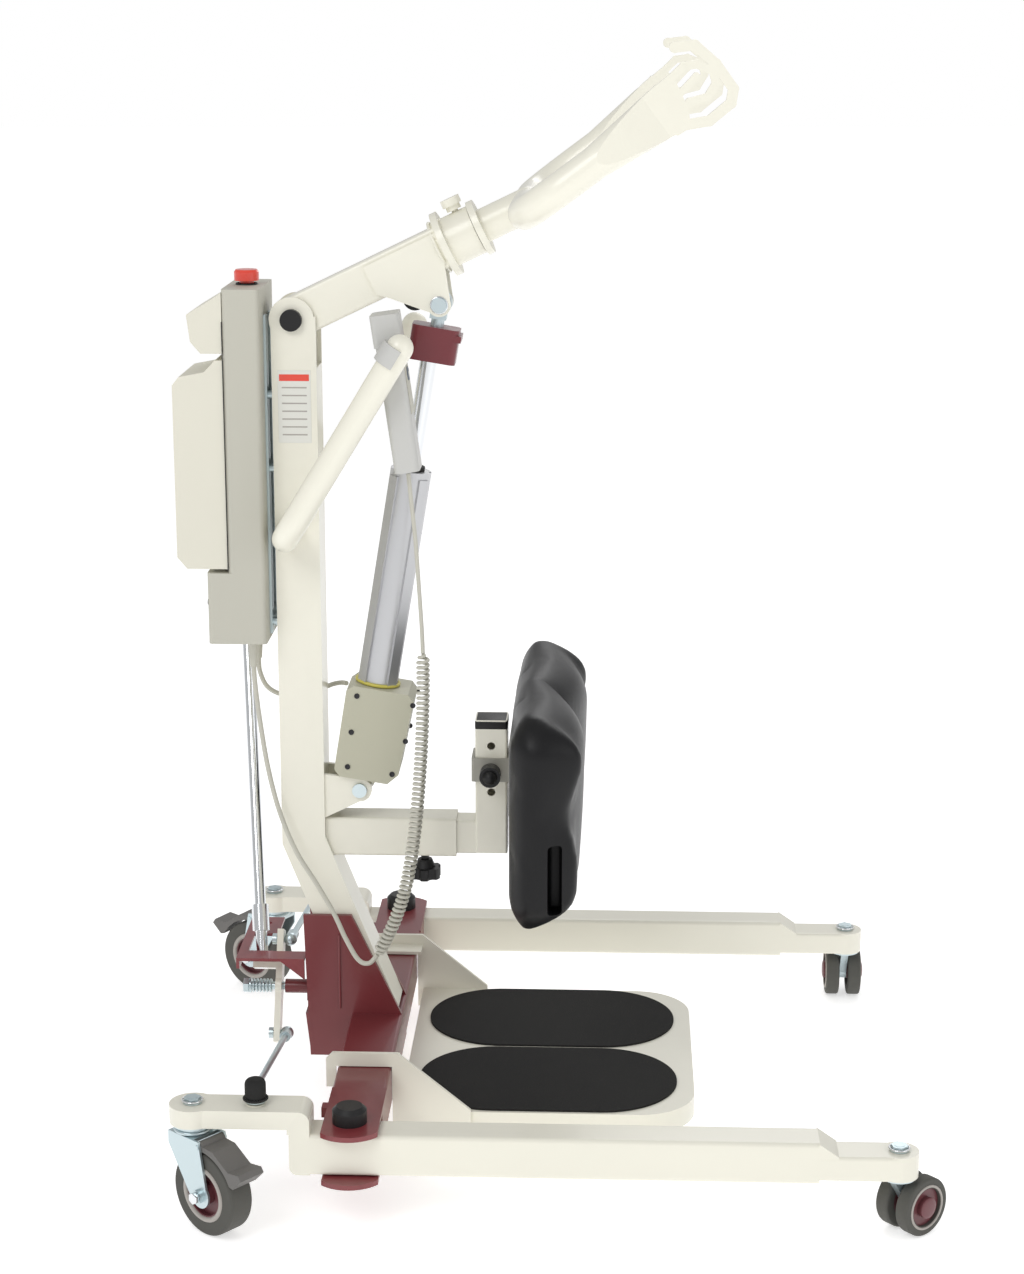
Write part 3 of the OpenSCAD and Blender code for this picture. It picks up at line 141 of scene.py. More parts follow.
def make_dust():
    """Colour and roughness that drift slightly, with faint scuffs low down."""
    group, inp, out = new_group(
        "dust",
        [("Color", COLOR, None), ("Dust Color", COLOR, (0.30, 0.28, 0.24, 1)),
         ("Amount", FLOAT, 0.1), ("Roughness", FLOAT, 0.4), ("Scale", FLOAT, 9.0)],
        [("Color", COLOR), ("Roughness", FLOAT)],
    )
    point = object_point(group)
    cloud = group.nodes.new("ShaderNodeTexNoise")
    cloud.inputs["Detail"].default_value = 5.0
    link(group, point, cloud.inputs["Vector"])
    link(group, inp.outputs["Scale"], cloud.inputs["Scale"])
    split = group.nodes.new("ShaderNodeSeparateXYZ")
    link(group, point, split.inputs[0])
    low = group.nodes.new("ShaderNodeMapRange")
    for name, value in (("From Min", 0.0), ("From Max", 0.35), ("To Min", 1.0), ("To Max", 0.25)):
        low.inputs[name].default_value = value
    link(group, split.outputs["Z"], low.inputs["Value"])
    patch = math_node(group, "MULTIPLY", cloud.outputs["Fac"], low.outputs["Result"])
    mask = math_node(group, "MULTIPLY", patch, inp.outputs["Amount"], clamp=True)
    link(group, mix_color(group, mask, inp.outputs["Color"], inp.outputs["Dust Color"]),
         out.inputs["Color"])
    rough = math_node(group, "MULTIPLY", mask, 0.6)
    link(group, math_node(group, "ADD", inp.outputs["Roughness"], rough, clamp=True),
         out.inputs["Roughness"])
    return group


def make_wear():
    """Mask of the convex edges, broken up by noise."""
    group, inp, out = new_group(
        "edge_wear",
        [("Color", COLOR, None), ("Wear Color", COLOR, (0.5, 0.5, 0.5, 1)), ("Amount", FLOAT, 0.3),
         ("Scale", FLOAT, 60.0)],
        [("Color", COLOR), ("Mask", FLOAT)],
    )
    geometry = group.nodes.new("ShaderNodeNewGeometry")
    edge = group.nodes.new("ShaderNodeMapRange")
    for name, value in (("From Min", 0.54), ("From Max", 0.62)):
        edge.inputs[name].default_value = value
    link(group, geometry.outputs["Pointiness"], edge.inputs["Value"])
    noise = group.nodes.new("ShaderNodeTexNoise")
    noise.inputs["Detail"].default_value = 4.0
    link(group, object_point(group), noise.inputs["Vector"])
    link(group, inp.outputs["Scale"], noise.inputs["Scale"])
    broken = math_node(group, "MULTIPLY", edge.outputs["Result"], noise.outputs["Fac"])
    mask = math_node(group, "MULTIPLY", broken, inp.outputs["Amount"], clamp=True)
    link(group, mix_color(group, mask, inp.outputs["Color"], inp.outputs["Wear Color"]),
         out.inputs["Color"])
    link(group, mask, out.inputs["Mask"])
    return group


def make_grain():
    """Normal of a fine moulded or cast texture."""
    group, inp, out = new_group(
        "grain",
        [("Scale", FLOAT, 900.0), ("Height", FLOAT, 0.1), ("Waves", FLOAT, 0.0)],
        [("Normal", VECTOR), ("Mask", FLOAT)],
    )
    point = object_point(group)
    fine = group.nodes.new("ShaderNodeTexNoise")
    fine.inputs["Detail"].default_value = 3.0
    wide = group.nodes.new("ShaderNodeTexNoise")
    wide.inputs["Scale"].default_value = 14.0
    for node in (fine, wide):
        link(group, point, node.inputs["Vector"])
    link(group, inp.outputs["Scale"], fine.inputs["Scale"])
    sway = math_node(group, "MULTIPLY", wide.outputs["Fac"], inp.outputs["Waves"])
    height = math_node(group, "ADD", fine.outputs["Fac"], sway)
    bump = group.nodes.new("ShaderNodeBump")
    bump.inputs["Distance"].default_value = 0.0006
    link(group, inp.outputs["Height"], bump.inputs["Strength"])
    link(group, height, bump.inputs["Height"])
    link(group, bump.outputs["Normal"], out.inputs["Normal"])
    link(group, fine.outputs["Fac"], out.inputs["Mask"])
    return group


DUST, WEAR, GRAIN = make_dust(), make_wear(), make_grain()


def put_group(tree, group, values):
    node = tree.nodes.new("ShaderNodeGroup")
    node.node_tree = group
    for name, value in values.items():
        if isinstance(value, (int, float, tuple)):
            node.inputs[name].default_value = value
        else:
            link(tree, value, node.inputs[name])
    return node


def finish_material(name, color, roughness, metallic=0.0, coat=0.0, dust=0.1, wear=0.0,
                    wear_color=(0.45, 0.45, 0.45, 1), grain=(900.0, 0.08, 0.0),
                    specular=0.5):
    """A Principled material with dust, edge wear and grain."""
    material = bpy.data.materials.new(name)
    material.use_nodes = True
    tree = material.node_tree
    shader = next(n for n in tree.nodes if n.type == "BSDF_PRINCIPLED")
    shader.inputs["Metallic"].default_value = metallic
    shader.inputs["Coat Weight"].default_value = coat
    shader.inputs["Coat Roughness"].default_value = 0.12
    shader.inputs["Specular IOR Level"].default_value = specular
    base = (*color, 1.0)
    if wear:
        base = put_group(tree, WEAR, {"Color": base, "Wear Color": wear_color,
                                      "Amount": wear}).outputs["Color"]
    dusty = put_group(tree, DUST, {"Color": base, "Amount": dust, "Roughness": roughness})
    link(tree, dusty.outputs["Color"], shader.inputs["Base Color"])
    link(tree, dusty.outputs["Roughness"], shader.inputs["Roughness"])
    scale, height, waves = grain
    texture = put_group(tree, GRAIN, {"Scale": scale, "Height": height, "Waves": waves})
    link(tree, texture.outputs["Normal"], shader.inputs["Normal"])
    material.diffuse_color = (*color, 1.0)
    return material


CREAM = finish_material("cream_powder_coat", (0.86, 0.84, 0.73), 0.34, coat=0.35, wear=0.12,
                        wear_color=(0.55, 0.53, 0.46, 1), grain=(520.0, 0.12, 0.5))
MAROON = finish_material("maroon_powder_coat", (0.165, 0.012, 0.018), 0.36, coat=0.4, wear=0.5,
                         wear_color=(0.36, 0.06, 0.07, 1), grain=(520.0, 0.12, 0.5))
ZINC = finish_material("blue_zinc_plate", (0.58, 0.68, 0.71), 0.30, metallic=0.85, wear=0.3,
                       wear_color=(0.75, 0.78, 0.78, 1), grain=(300.0, 0.06, 0.8))
CHROME = finish_material("hard_chrome", (0.78, 0.80, 0.82), 0.12, metallic=1.0, dust=0.04,
                         grain=(1500.0, 0.02, 0.0))
DARK_STEEL = finish_material("black_steel", (0.035, 0.035, 0.04), 0.45, metallic=0.6)
BRACKET = finish_material("grey_bracket_paint", (0.36, 0.35, 0.30), 0.5, wear=0.3)
ALUMINIUM = finish_material("satin_aluminium", (0.56, 0.565, 0.58), 0.36, metallic=0.75,
                            grain=(420.0, 0.05, 0.4))
BOX_PLASTIC = finish_material("box_plastic", (0.52, 0.51, 0.44), 0.52, grain=(1500.0, 0.25, 0.0))
SHELL = finish_material("shell_plastic", (0.73, 0.71, 0.61), 0.5, grain=(1500.0, 0.22, 0.0))
MOTOR_PLASTIC = finish_material("motor_plastic", (0.50, 0.49, 0.38), 0.46,
                                grain=(1300.0, 0.25, 0.0))
HANDSET_PLASTIC = finish_material("handset_plastic", (0.56, 0.56, 0.54), 0.45,
                                  grain=(1700.0, 0.2, 0.0))
BUTTON = finish_material("button_plastic", (0.16, 0.19, 0.24), 0.38, coat=0.2)
CORD = finish_material("cord_jacket", (0.55, 0.54, 0.47), 0.5, grain=(900.0, 0.1, 0.0))
BLACK_PLASTIC = finish_material("black_plastic", (0.010, 0.010, 0.011), 0.42, dust=0.03,
                                specular=0.35, grain=(1500.0, 0.3, 0.0))
BLACK_RUBBER = finish_material("black_rubber", (0.012, 0.012, 0.012), 0.68, dust=0.03,
                               specular=0.3, grain=(1100.0, 0.3, 0.0))
RED = finish_material("red_plastic", (0.80, 0.055, 0.03), 0.26, coat=0.5, dust=0.03)
MAROON_PLASTIC = finish_material("maroon_plastic", (0.155, 0.012, 0.02), 0.34, coat=0.3,
                                 grain=(1400.0, 0.15, 0.0))
HUB = finish_material("maroon_hub", (0.13, 0.016, 0.028), 0.4, coat=0.2, dust=0.2)
TYRE = finish_material("grey_tyre", (0.065, 0.065, 0.058), 0.72, dust=0.15,
                       grain=(1000.0, 0.25, 0.0))
HUB_RING = finish_material("light_hub_ring", (0.42, 0.39, 0.36), 0.5, dust=0.2)
PEDAL = finish_material("pedal_plastic", (0.13, 0.125, 0.12), 0.5, dust=0.15,
                        grain=(1500.0, 0.25, 0.0))
FOAM = finish_material("foam_skin", (0.008, 0.008, 0.009), 0.36, dust=0.0, specular=0.24,
                       grain=(1300.0, 0.35, 1.2))
TREAD = finish_material("grit_tread", (0.012, 0.012, 0.012), 0.88, dust=0.03, specular=0.3,
                        grain=(650.0, 1.0, 0.0))
YELLOW = finish_material("yellow_seal", (0.63, 0.56, 0.11), 0.4, dust=0.05)
LABEL = finish_material("plain_label", (0.77, 0.77, 0.72), 0.35, dust=0.03,
                        grain=(600.0, 0.03, 0.0))

SLOT_MATERIALS = {
    "cream_paint": CREAM, "maroon_paint": MAROON, "zinc_steel": ZINC, "chrome_rod": CHROME,
    "dark_steel": DARK_STEEL, "bracket_steel": BRACKET, "tube_aluminium": ALUMINIUM,
    "box_plastic": BOX_PLASTIC, "shell_plastic": SHELL, "motor_plastic": MOTOR_PLASTIC,
    "handset_plastic": HANDSET_PLASTIC, "button_plastic": BUTTON, "box_rubber": CORD,
    "cord_rubber": CORD, "black_plastic": BLACK_PLASTIC, "black_rubber": BLACK_RUBBER,
    "red_plastic": RED, "maroon_plastic": MAROON_PLASTIC, "maroon_hub": HUB, "grey_tyre": TYRE,
    "pedal_plastic": PEDAL, "pad_foam": FOAM, "tread_rubber": TREAD,
}
for part in frame["record"]["subparts"]:
    node = frame["nodes"][part["node"]]
    node.data.materials.clear()
    node.data.materials.append(SLOT_MATERIALS[part["material_slot"]])


# ------------------------------------------------------------ modelling kit
def deselect():
    if bpy.context.object and bpy.context.object.mode != "OBJECT":
        bpy.ops.object.mode_set(mode="OBJECT")
    bpy.ops.object.select_all(action="DESELECT")


def edit(obj):
    deselect()
    obj.select_set(True)
    bpy.context.view_layer.objects.active = obj
    bpy.ops.object.mode_set(mode="EDIT")


def select_faces(obj, test):
    """In edit mode, select just the faces that pass the test."""
    bpy.ops.mesh.select_mode(type="FACE")
    mesh = bmesh.from_edit_mesh(obj.data)
    for face in mesh.faces:
        face.select_set(test(face))
    bmesh.update_edit_mesh(obj.data)


def done(obj, name, material, body, matrix=None, smooth=35.0):
    """Name, place, smooth, colour and ride a finished piece."""
    deselect()
    obj.name = name
    obj.data.name = name
    if matrix is not None:
        obj.matrix_world = matrix @ obj.matrix_world
    obj.select_set(True)
    bpy.context.view_layer.objects.active = obj
    bpy.ops.object.transform_apply(location=True, rotation=True, scale=True)
    bpy.ops.object.shade_smooth_by_angle(angle=math.radians(smooth))
    obj.data.materials.clear()
    obj.data.materials.append(material)
    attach(obj, body)
    return obj


def cube(size, at=(0, 0, 0)):
    deselect()
    bpy.ops.mesh.primitive_cube_add(size=1.0, location=at)
    obj = bpy.context.object
    obj.scale = size
    bpy.ops.object.transform_apply(location=False, rotation=False, scale=True)
    return obj


def disc(radius, depth, at=(0, 0, 0), vertices=32):
    deselect()
    bpy.ops.mesh.primitive_cylinder_add(radius=radius, depth=depth, location=at,
                                        vertices=vertices)
    return bpy.context.object


def ring(major, minor, at=(0, 0, 0), segments=64, sides=12):
    deselect()
    bpy.ops.mesh.primitive_torus_add(major_radius=major, minor_radius=minor, location=at,
                                     major_segments=segments, minor_segments=sides)
    return bpy.context.object


def apply_modifier(obj, kind, **settings):
    modifier = obj.modifiers.new(kind.lower(), kind)
    for name, value in settings.items():
        setattr(modifier, name, value)
    deselect()
    obj.select_set(True)
    bpy.context.view_layer.objects.active = obj
    bpy.ops.object.modifier_apply(modifier=modifier.name)


def bevel(obj, width, segments=3):
    apply_modifier(obj, "BEVEL", width=width, segments=segments, limit_method="ANGLE",
                   angle_limit=math.radians(40))


def join(objects):
    deselect()
    for obj in objects:
        obj.select_set(True)
    bpy.context.view_layer.objects.active = objects[0]
    bpy.ops.object.join()
    return objects[0]


# ------------------------------------------------------------ cords
def ring_points(route):
    """A route in millimetres from the mast's rear face, as points in metres."""
    return [Vector((x * MM + MAST_BACK, y * MM, z * MM)) for x, y, z in route]


def smooth_route(points, steps):
    """Catmull-Rom points through the route."""
    out = []
    last = len(points) - 1
    for i in range(last):
        a, b, c, d = (points[k] for k in (max(i - 1, 0), i, i + 1, min(i + 2, last)))
        for j in range(steps):
            t = j / steps
            out.append(0.5 * (2 * b + (c - a) * t + (2 * a - 5 * b + 4 * c - d) * t * t
                              + (3 * b - a - 3 * c + d) * t * t * t))
    return out + [points[last]]


def polyline_length(points):
    return sum((b - a).length for a, b in zip(points, points[1:]))


HANDSET_ROUTE = [(166, -66, 831), (169, -66, 800), (174, -68, 750), (178, -70, 690),
                 (181, -71, 640), (182, -72, 612)]
COIL_ROUTE = [(182, -72, 611), (182, -74, 560), (180, -78, 500), (176, -82, 440),
              (170, -86, 380), (160, -88, 320), (144, -88, 270), (124, -84, 228)]
CABLE_ROUTE = [(123, -84, 227), (112, -80, 214), (98, -74, 216), (82, -66, 240), (66, -58, 272),
               (44, -54, 310), (20, -52, 350), (0, -48, 400), (-14, -42, 455), (-24, -34, 515),
               (-30, -26, 560), (-31.5, -22, 580)]
ACTUATOR_ROUTE = [(-31.5, 22, 580), (-31, 25, 562), (-24, 34, 540), (-8, 40, 528), (14, 42, 526),
                  (38, 42, 532), (58, 36, 542), (72, 20, 549), (80, 6, 552)]
COIL_TURNS = 62
COIL_RADIUS = 6.3 * MM
CORD_RADIUS = 2.1 * MM


def curve_piece(name, points, radius, sides=4):
    """A cord as one open spline with a round section."""
    curve = bpy.data.curves.new(name, "CURVE")
    curve.dimensions = "3D"
    curve.bevel_depth = radius
    curve.bevel_resolution = sides
    curve.use_fill_caps = True
    spline = curve.splines.new("POLY")
    spline.points.add(len(points) - 1)
    for slot, point in zip(spline.points, points):
        slot.co = (*point, 1.0)
    spline.use_smooth = True
    obj = bpy.data.objects.new(name, curve)
    bpy.context.scene.collection.objects.link(obj)
    curve.materials.append(CORD)
    return obj


def coil_points(centre, turns, radius, per_turn=14):
    """A helix around a route, that shrinks onto it at both ends."""
    total = polyline_length(centre)
    count = turns * per_turn
    out = []
    travelled, index = 0.0, 0
    side = Vector((0, 1, 0))
    for k in range(count + 1):
        goal = total * k / count
        while index < len(centre) - 2:
            length = (centre[index + 1] - centre[index]).length
            if travelled + length >= goal:
                break
            travelled += length
            index += 1
        step = centre[index + 1] - centre[index]
        point = centre[index] + step.normalized() * (goal - travelled)
        along = step.normalized()
        u = (side - along * side.dot(along)).normalized()
        v = along.cross(u)
        angle = 2 * math.pi * k / per_turn
        grow = min(1.0, k / per_turn, (count - k) / per_turn)
        out.append(point + (u * math.cos(angle) + v * math.sin(angle)) * radius * grow)
    return out


handset_points = smooth_route(ring_points(HANDSET_ROUTE), 6)
coil_path = coil_points(smooth_route(ring_points(COIL_ROUTE), 8), COIL_TURNS, COIL_RADIUS)
cable_points = smooth_route(ring_points(CABLE_ROUTE), 6)
actuator_points = smooth_route(ring_points(ACTUATOR_ROUTE), 6)
CORDS = [
    ("handset_lead", "handset_cord", handset_points, 2.5 * MM, "hanging"),
    ("curly_lead", "coil_cord", coil_path, CORD_RADIUS, "coiled"),
    ("handset_cable_run", "handset_cable", cable_points, 3.0 * MM, "hanging"),
    ("actuator_cable_run", "actuator_cable", actuator_points, 3.0 * MM, "hanging"),
]
for name, node, points, radius, lay in CORDS:
    lead = curve_piece(name, points, radius)
    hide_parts(node)
    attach(lead, "base")


# ------------------------------------------------------------ knee pad
PAD_BACK = MAST_BACK + 0.291
PAD_DEPTH = 0.088
PAD_LOW, PAD_HIGH = 0.299, 0.567
PAD_HALF = 0.220
PAD_EDGE = 0.034
PAD_MIDDLE = Vector((PAD_BACK + PAD_DEPTH / 2, 0, (PAD_LOW + PAD_HIGH) / 2))
PAD_REACH = Vector((PAD_DEPTH / 2, PAD_HALF, (PAD_HIGH - PAD_LOW) / 2))
VOXEL = 0.0045
SWELL_LIMIT = 0.004
SWELL_FRAMES = 12
pad = cube((PAD_DEPTH, 2 * PAD_HALF, PAD_HIGH - PAD_LOW), PAD_MIDDLE)
edit(pad)
bpy.ops.mesh.select_all(action="SELECT")
bpy.ops.mesh.subdivide(number_cuts=47)
bpy.ops.object.mode_set(mode="OBJECT")


def rounded(point, radius):
    """A point of the pad's box, moved in to the box's rounded form."""
    offset = point - PAD_MIDDLE
    core = Vector([max(radius - h, min(h - radius, v)) for v, h in zip(offset, PAD_REACH)])
    out = offset - core
    if out.length > radius:
        out *= radius / out.length
    return PAD_MIDDLE + core + out


def pad_shape(point):
    """Two padded lobes with a channel between them and rounded, turned-in edges."""
    u = (point.z - PAD_LOW) / (PAD_HIGH - PAD_LOW)
    across = abs(point.y) / PAD_HALF
    depth = (point.x - PAD_BACK) / PAD_DEPTH
    lobe = math.sin(math.pi * min(1.0, max(0.0, across)))
    waist = math.exp(-((u - 0.56) / 0.16) ** 2)
    shoulder = math.exp(-((across - 0.93) / 0.10) ** 2)
    ends = max(0.0, abs(2 * u - 1) - 0.55) / 0.45
    front = 0.60 + 0.34 * lobe ** 0.8 - 0.06 * waist * (1 - lobe)
    front += 0.30 * shoulder * (1.0 - 0.55 * waist)
    front *= 1.0 - 0.5 * ends ** 2.0
    side = max(0.0, across - 0.9) / 0.1
    front *= 1.0 - 0.16 * side ** 2
    x = PAD_BACK + PAD_DEPTH * min(front, 0.985) * depth
    back = 0.10 * ends ** 2 + 0.10 * side ** 2
    x += PAD_DEPTH * back * (1 - depth)
    corner = max(0.0, across - 0.82) / 0.18 * max(0.0, abs(2 * u - 1) - 0.7) / 0.3
    lean = 0.012 * (u - 0.5)
    y = point.y * (1.0 - 0.045 * corner)
    z = PAD_MIDDLE.z + (point.z - PAD_MIDDLE.z) * (1.0 - 0.08 * corner)
    return Vector((min(x + lean * depth, PAD_BACK + PAD_DEPTH - 0.001), y, z))


for vertex in pad.data.vertices:
    vertex.co = pad_shape(rounded(pad.matrix_world @ vertex.co, PAD_EDGE)) - pad.location
slot_cutters = []
for side in (-1, 1):
    cutter = cube((0.017, 0.060, 0.088), (PAD_BACK + 0.055, side * (PAD_HALF - 0.012), 0.372))
    bevel(cutter, 0.005, 3)
    slot_cutters.append(cutter)
apply_modifier(pad, "REMESH", mode="VOXEL", voxel_size=VOXEL)
swell = pad.modifiers.new("cloth", "CLOTH")
settings = swell.settings
settings.use_pressure = True
settings.uniform_pressure_force = 3.0
settings.quality = 5
settings.mass = 0.4
settings.tension_stiffness = settings.compression_stiffness = 40.0
settings.effector_weights.gravity = 0.0
rest = [v.co.copy() for v in pad.data.vertices]
scene = bpy.context.scene
for number in range(1, SWELL_FRAMES + 1):
    scene.frame_set(number)
depsgraph = bpy.context.evaluated_depsgraph_get()
puffed = [v.co.copy() for v in pad.evaluated_get(depsgraph).data.vertices]
pad.modifiers.remove(swell)
for vertex, start, end in zip(pad.data.vertices, rest, puffed):
    move = end - start
    if move.length > SWELL_LIMIT:
        move *= SWELL_LIMIT / move.length
    vertex.co = start + move
scene.frame_set(1)
apply_modifier(pad, "SMOOTH", factor=0.5, iterations=6)
for cutter in slot_cutters:
    apply_modifier(pad, "BOOLEAN", operation="DIFFERENCE", object=cutter, solver="EXACT")
    bpy.data.objects.remove(cutter)
for vertex in pad.data.vertices:
    point = pad.matrix_world @ vertex.co
    if point.x < PAD_BACK:
        vertex.co.x += PAD_BACK - point.x
done(pad, "knee_cushion", FOAM, "knee_pad", smooth=60)
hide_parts("knee_pad")


# ------------------------------------------------------------ casters
def at_caster(x, y, yaw):
    return place((x, y, 0), turn_z=math.radians(yaw))


def screw_head(radius, height, at, axis, name, material, body, matrix):
    """A pan head with a round recess, its top facing along axis."""
    head = disc(radius, height, vertices=24)
    edit(head)
    select_faces(head, lambda f: f.normal.z > 0.9)
    bpy.ops.mesh.inset(thickness=radius * 0.35)
    bpy.ops.mesh.inset(thickness=radius * 0.2)
    select_faces(head, lambda f: f.normal.z > 0.9 and f.calc_center_median().length < radius * 0.5
                 + height and f.calc_area() > radius * radius * 0.3)
    bpy.ops.transform.translate(value=(0, 0, -height * 0.35))
    bpy.ops.object.mode_set(mode="OBJECT")
    bevel(head, height * 0.25, 2)
    turn = Vector(axis).to_track_quat("Z", "Y").to_matrix().to_4x4()
    return done(head, name, material, body, matrix @ Matrix.Translation(at) @ turn)


for label, x, y, yaw, trail, radius in CASTERS:
    kind, side = label.split("_")
    at = at_caster(x, y, yaw)
    fork_body = f"{kind}_fork_{side}"
    if kind == "rear":
        wheel_body = f"rear_wheel_{side}"
        for s in (-1, 1):
            # Light ring between hub and tyre
            band = ring(0.0305, 0.0032, segments=72)
            band.rotation_euler = (math.pi / 2, 0, 0)
            band.location = (trail, s * 0.0148, radius)
            done(band, f"wheel_ring_{label}_{'ab'[s > 0]}", HUB_RING, wheel_body, at)
            nut = disc(0.0072, 0.005, vertices=6)
            bevel(nut, 0.0008, 2)
            nut.rotation_euler = (math.pi / 2, 0, 0)
            nut.location = (trail, s * 0.0295, radius)
            done(nut, f"axle_nut_{label}_{'ab'[s > 0]}", CHROME, fork_body, at)
        race = ring(0.0205, 0.0022, at=(0, 0, 0.1185), segments=48)
        done(race, f"ball_race_{label}", ZINC, fork_body, at)
        for k in range(10):
            turn = 2 * math.pi * k / 10
            deselect()
            bpy.ops.mesh.primitive_uv_sphere_add(
                radius=0.0028, segments=16, ring_count=8,
                location=(0.0195 * math.cos(turn), 0.0195 * math.sin(turn), 0.1245))
            ball = bpy.context.object
            done(ball, f"race_ball_{label}_{k}", CHROME, fork_body, at, smooth=180)
    else:
        wheel_body = f"front_wheels_{side}"
        for s in (-1, 1):
            cap = disc(0.0125, 0.004, vertices=40)
            edit(cap)
            select_faces(cap, lambda f: f.normal.z > 0.9)
            bpy.ops.mesh.inset(thickness=0.004)
            bpy.ops.transform.translate(value=(0, 0, 0.0012))
            bpy.ops.object.mode_set(mode="OBJECT")
            bevel(cap, 0.0006, 2)
            cap.rotation_euler = (-s * math.pi / 2, 0, 0)
            cap.location = (trail, s * 0.0250, radius)
            done(cap, f"axle_cap_{label}_{'ab'[s > 0]}", HUB, wheel_body, at)
            band = ring(0.0255, 0.0016, segments=64)
            band.rotation_euler = (math.pi / 2, 0, 0)
            band.location = (trail, s * 0.0236, radius)
            done(band, f"wheel_ring_{label}_{'ab'[s > 0]}", HUB_RING, wheel_body, at)

# ------------------------------------------------------------ actuator
for k, (u, v) in enumerate([(-0.026, 0.030), (0.030, 0.030), (-0.028, 0.075), (0.040, 0.075),
                            (-0.028, 0.122), (0.042, 0.122)]):
    for s in (-1, 1):
        screw_head(0.0034, 0.0022, (u + 0.007, s * 0.0352, v), (0, s, 0),
                   f"housing_screw_{k}_{'ab'[s > 0]}", DARK_STEEL, "actuator", AT_ACTUATOR)
seal = ring(0.0262, 0.0022, at=(0, 0, 0.1365), segments=72)
done(seal, "tube_seal", YELLOW, "actuator", AT_ACTUATOR)
wiper = disc(0.0165, 0.006, at=(0, 0, 0.4095), vertices=48)
edit(wiper)
select_faces(wiper, lambda f: abs(f.normal.z) > 0.9)
bpy.ops.mesh.delete(type="FACE")
bpy.ops.object.mode_set(mode="OBJECT")
apply_modifier(wiper, "SOLIDIFY", thickness=0.0058, offset=-1)
bevel(wiper, 0.0008, 2)
done(wiper, "rod_wiper", BLACK_RUBBER, "actuator", AT_ACTUATOR)

# ------------------------------------------------------------ control box
BOX_FRONT = MAST_BACK - 0.009
BOX_MID = BOX_FRONT - 0.0225
BATTERY_BACK = BOX_FRONT - 0.045 - 0.0616
collar = ring(0.0118, 0.0016, at=(BOX_MID, 0, 1.0487), segments=48)
done(collar, "stop_collar", BLACK_PLASTIC, "base")
for k, (y, z) in enumerate([(-0.050, 0.668), (0.050, 0.668)]):
    screw_head(0.0036, 0.0024, (BOX_FRONT - 0.0712, y, z), (-1, 0, 0),
               f"box_screw_{k}", DARK_STEEL, "base", Matrix.Identity(4))
for k in range(3):
    lamp = disc(0.0026, 0.0024, vertices=20)
    bevel(lamp, 0.0006, 2)
    lamp.rotation_euler = (0, -math.pi / 2, 0)
    lamp.location = (BOX_FRONT - 0.0714, (k - 1) * 0.014, 0.690)
    done(lamp, f"charge_lamp_{k}", BUTTON, "base")
for s in (-1, 1):
    seam = cube((0.0012, 0.0006, 0.300), (BOX_FRONT - 0.0448, s * 0.0621, 0.860))
    bevel(seam, 0.0002, 1)
    done(seam, f"shell_seam_{'ab'[s > 0]}", DARK_STEEL, "base")
plate = cube((0.040, 0.0004, 0.088), (MAST_BACK + 0.027, -0.03025, 0.905))
bevel(plate, 0.0002, 1)
done(plate, "care_label", LABEL, "base")
band = cube((0.036, 0.0004, 0.008), (MAST_BACK + 0.027, -0.03055, 0.940))
bevel(band, 0.00015, 1)
done(band, "care_label_band", RED, "base")
for k in range(7):
    line = cube((0.030, 0.0003, 0.0016), (MAST_BACK + 0.027, -0.03053, 0.928 - 0.0095 * k))
    bevel(line, 0.0001, 1)
    done(line, f"care_label_line_{k}", HUB_RING, "base")

# ------------------------------------------------------------ handset
AT_HANDSET = place((MAST_BACK + 0.153, -0.066, 0.931), math.radians(-8))
face = cube((0.0012, 0.036, 0.096), (0.0155, 0, 0.020))
bevel(face, 0.0005, 2)
for name, z, tip in (("up", 0.048, 1), ("down", 0.018, -1)):
    deselect()
    bpy.ops.mesh.primitive_cylinder_add(vertices=3, radius=0.0045, depth=0.0006)
    arrow = bpy.context.object
    bevel(arrow, 0.0002, 1)
    arrow.rotation_euler = (math.pi / 2, 0 if tip > 0 else math.pi, math.pi / 2)
    arrow.location = (0.0177, 0, z)
    done(arrow, f"arrow_{name}", LABEL, f"{name}_button", AT_HANDSET)
for z in (0.048, 0.018):
    hole = disc(0.0086, 0.01, (0.0155, 0, z))
    hole.rotation_euler = (0, math.pi / 2, 0)
    apply_modifier(face, "BOOLEAN", operation="DIFFERENCE", object=hole, solver="EXACT")
    bpy.data.objects.remove(hole)
done(face, "handset_face", BOX_PLASTIC, "base", AT_HANDSET)

# ------------------------------------------------------------ boom
for s in (-1, 1):
    seat = ring(0.0098, 0.0012, segments=40)
    seat.rotation_euler = (math.pi / 2, 0, 0)
    seat.location = (0.167, s * 0.0282, -0.060)
    done(seat, f"pin_washer_{'ab'[s > 0]}", CHROME, "boom", AT_BOOM)
weld = ring(0.0306, 0.0022)
weld.rotation_euler = (0, math.pi / 2, 0)
weld.location = (0.1945, 0, 0)
done(weld, "collar_weld", CREAM, "boom", AT_BOOM)

# ------------------------------------------------------------ base
for s in (-1, 1):
    for x in (FRONT_X, REAR_X):
        z = 0.1085 if x == FRONT_X else 0.1528
        washer = ring(0.0115, 0.0011, at=(x, s * LEG_Y, z), segments=40)
        done(washer, f"bolt_washer_{'rl'[s > 0]}_{'rf'[x > 0]}", CHROME,
             f"leg_{'right' if s < 0 else 'left'}")
for s in (-1, 1):
    bead = cube((0.003, 0.003, 0.100), (MAST_BACK + 0.070, s * 0.0372, 0.185))
    bevel(bead, 0.0012, 3)
    done(bead, f"socket_weld_{'ab'[s > 0]}", MAROON, "base")

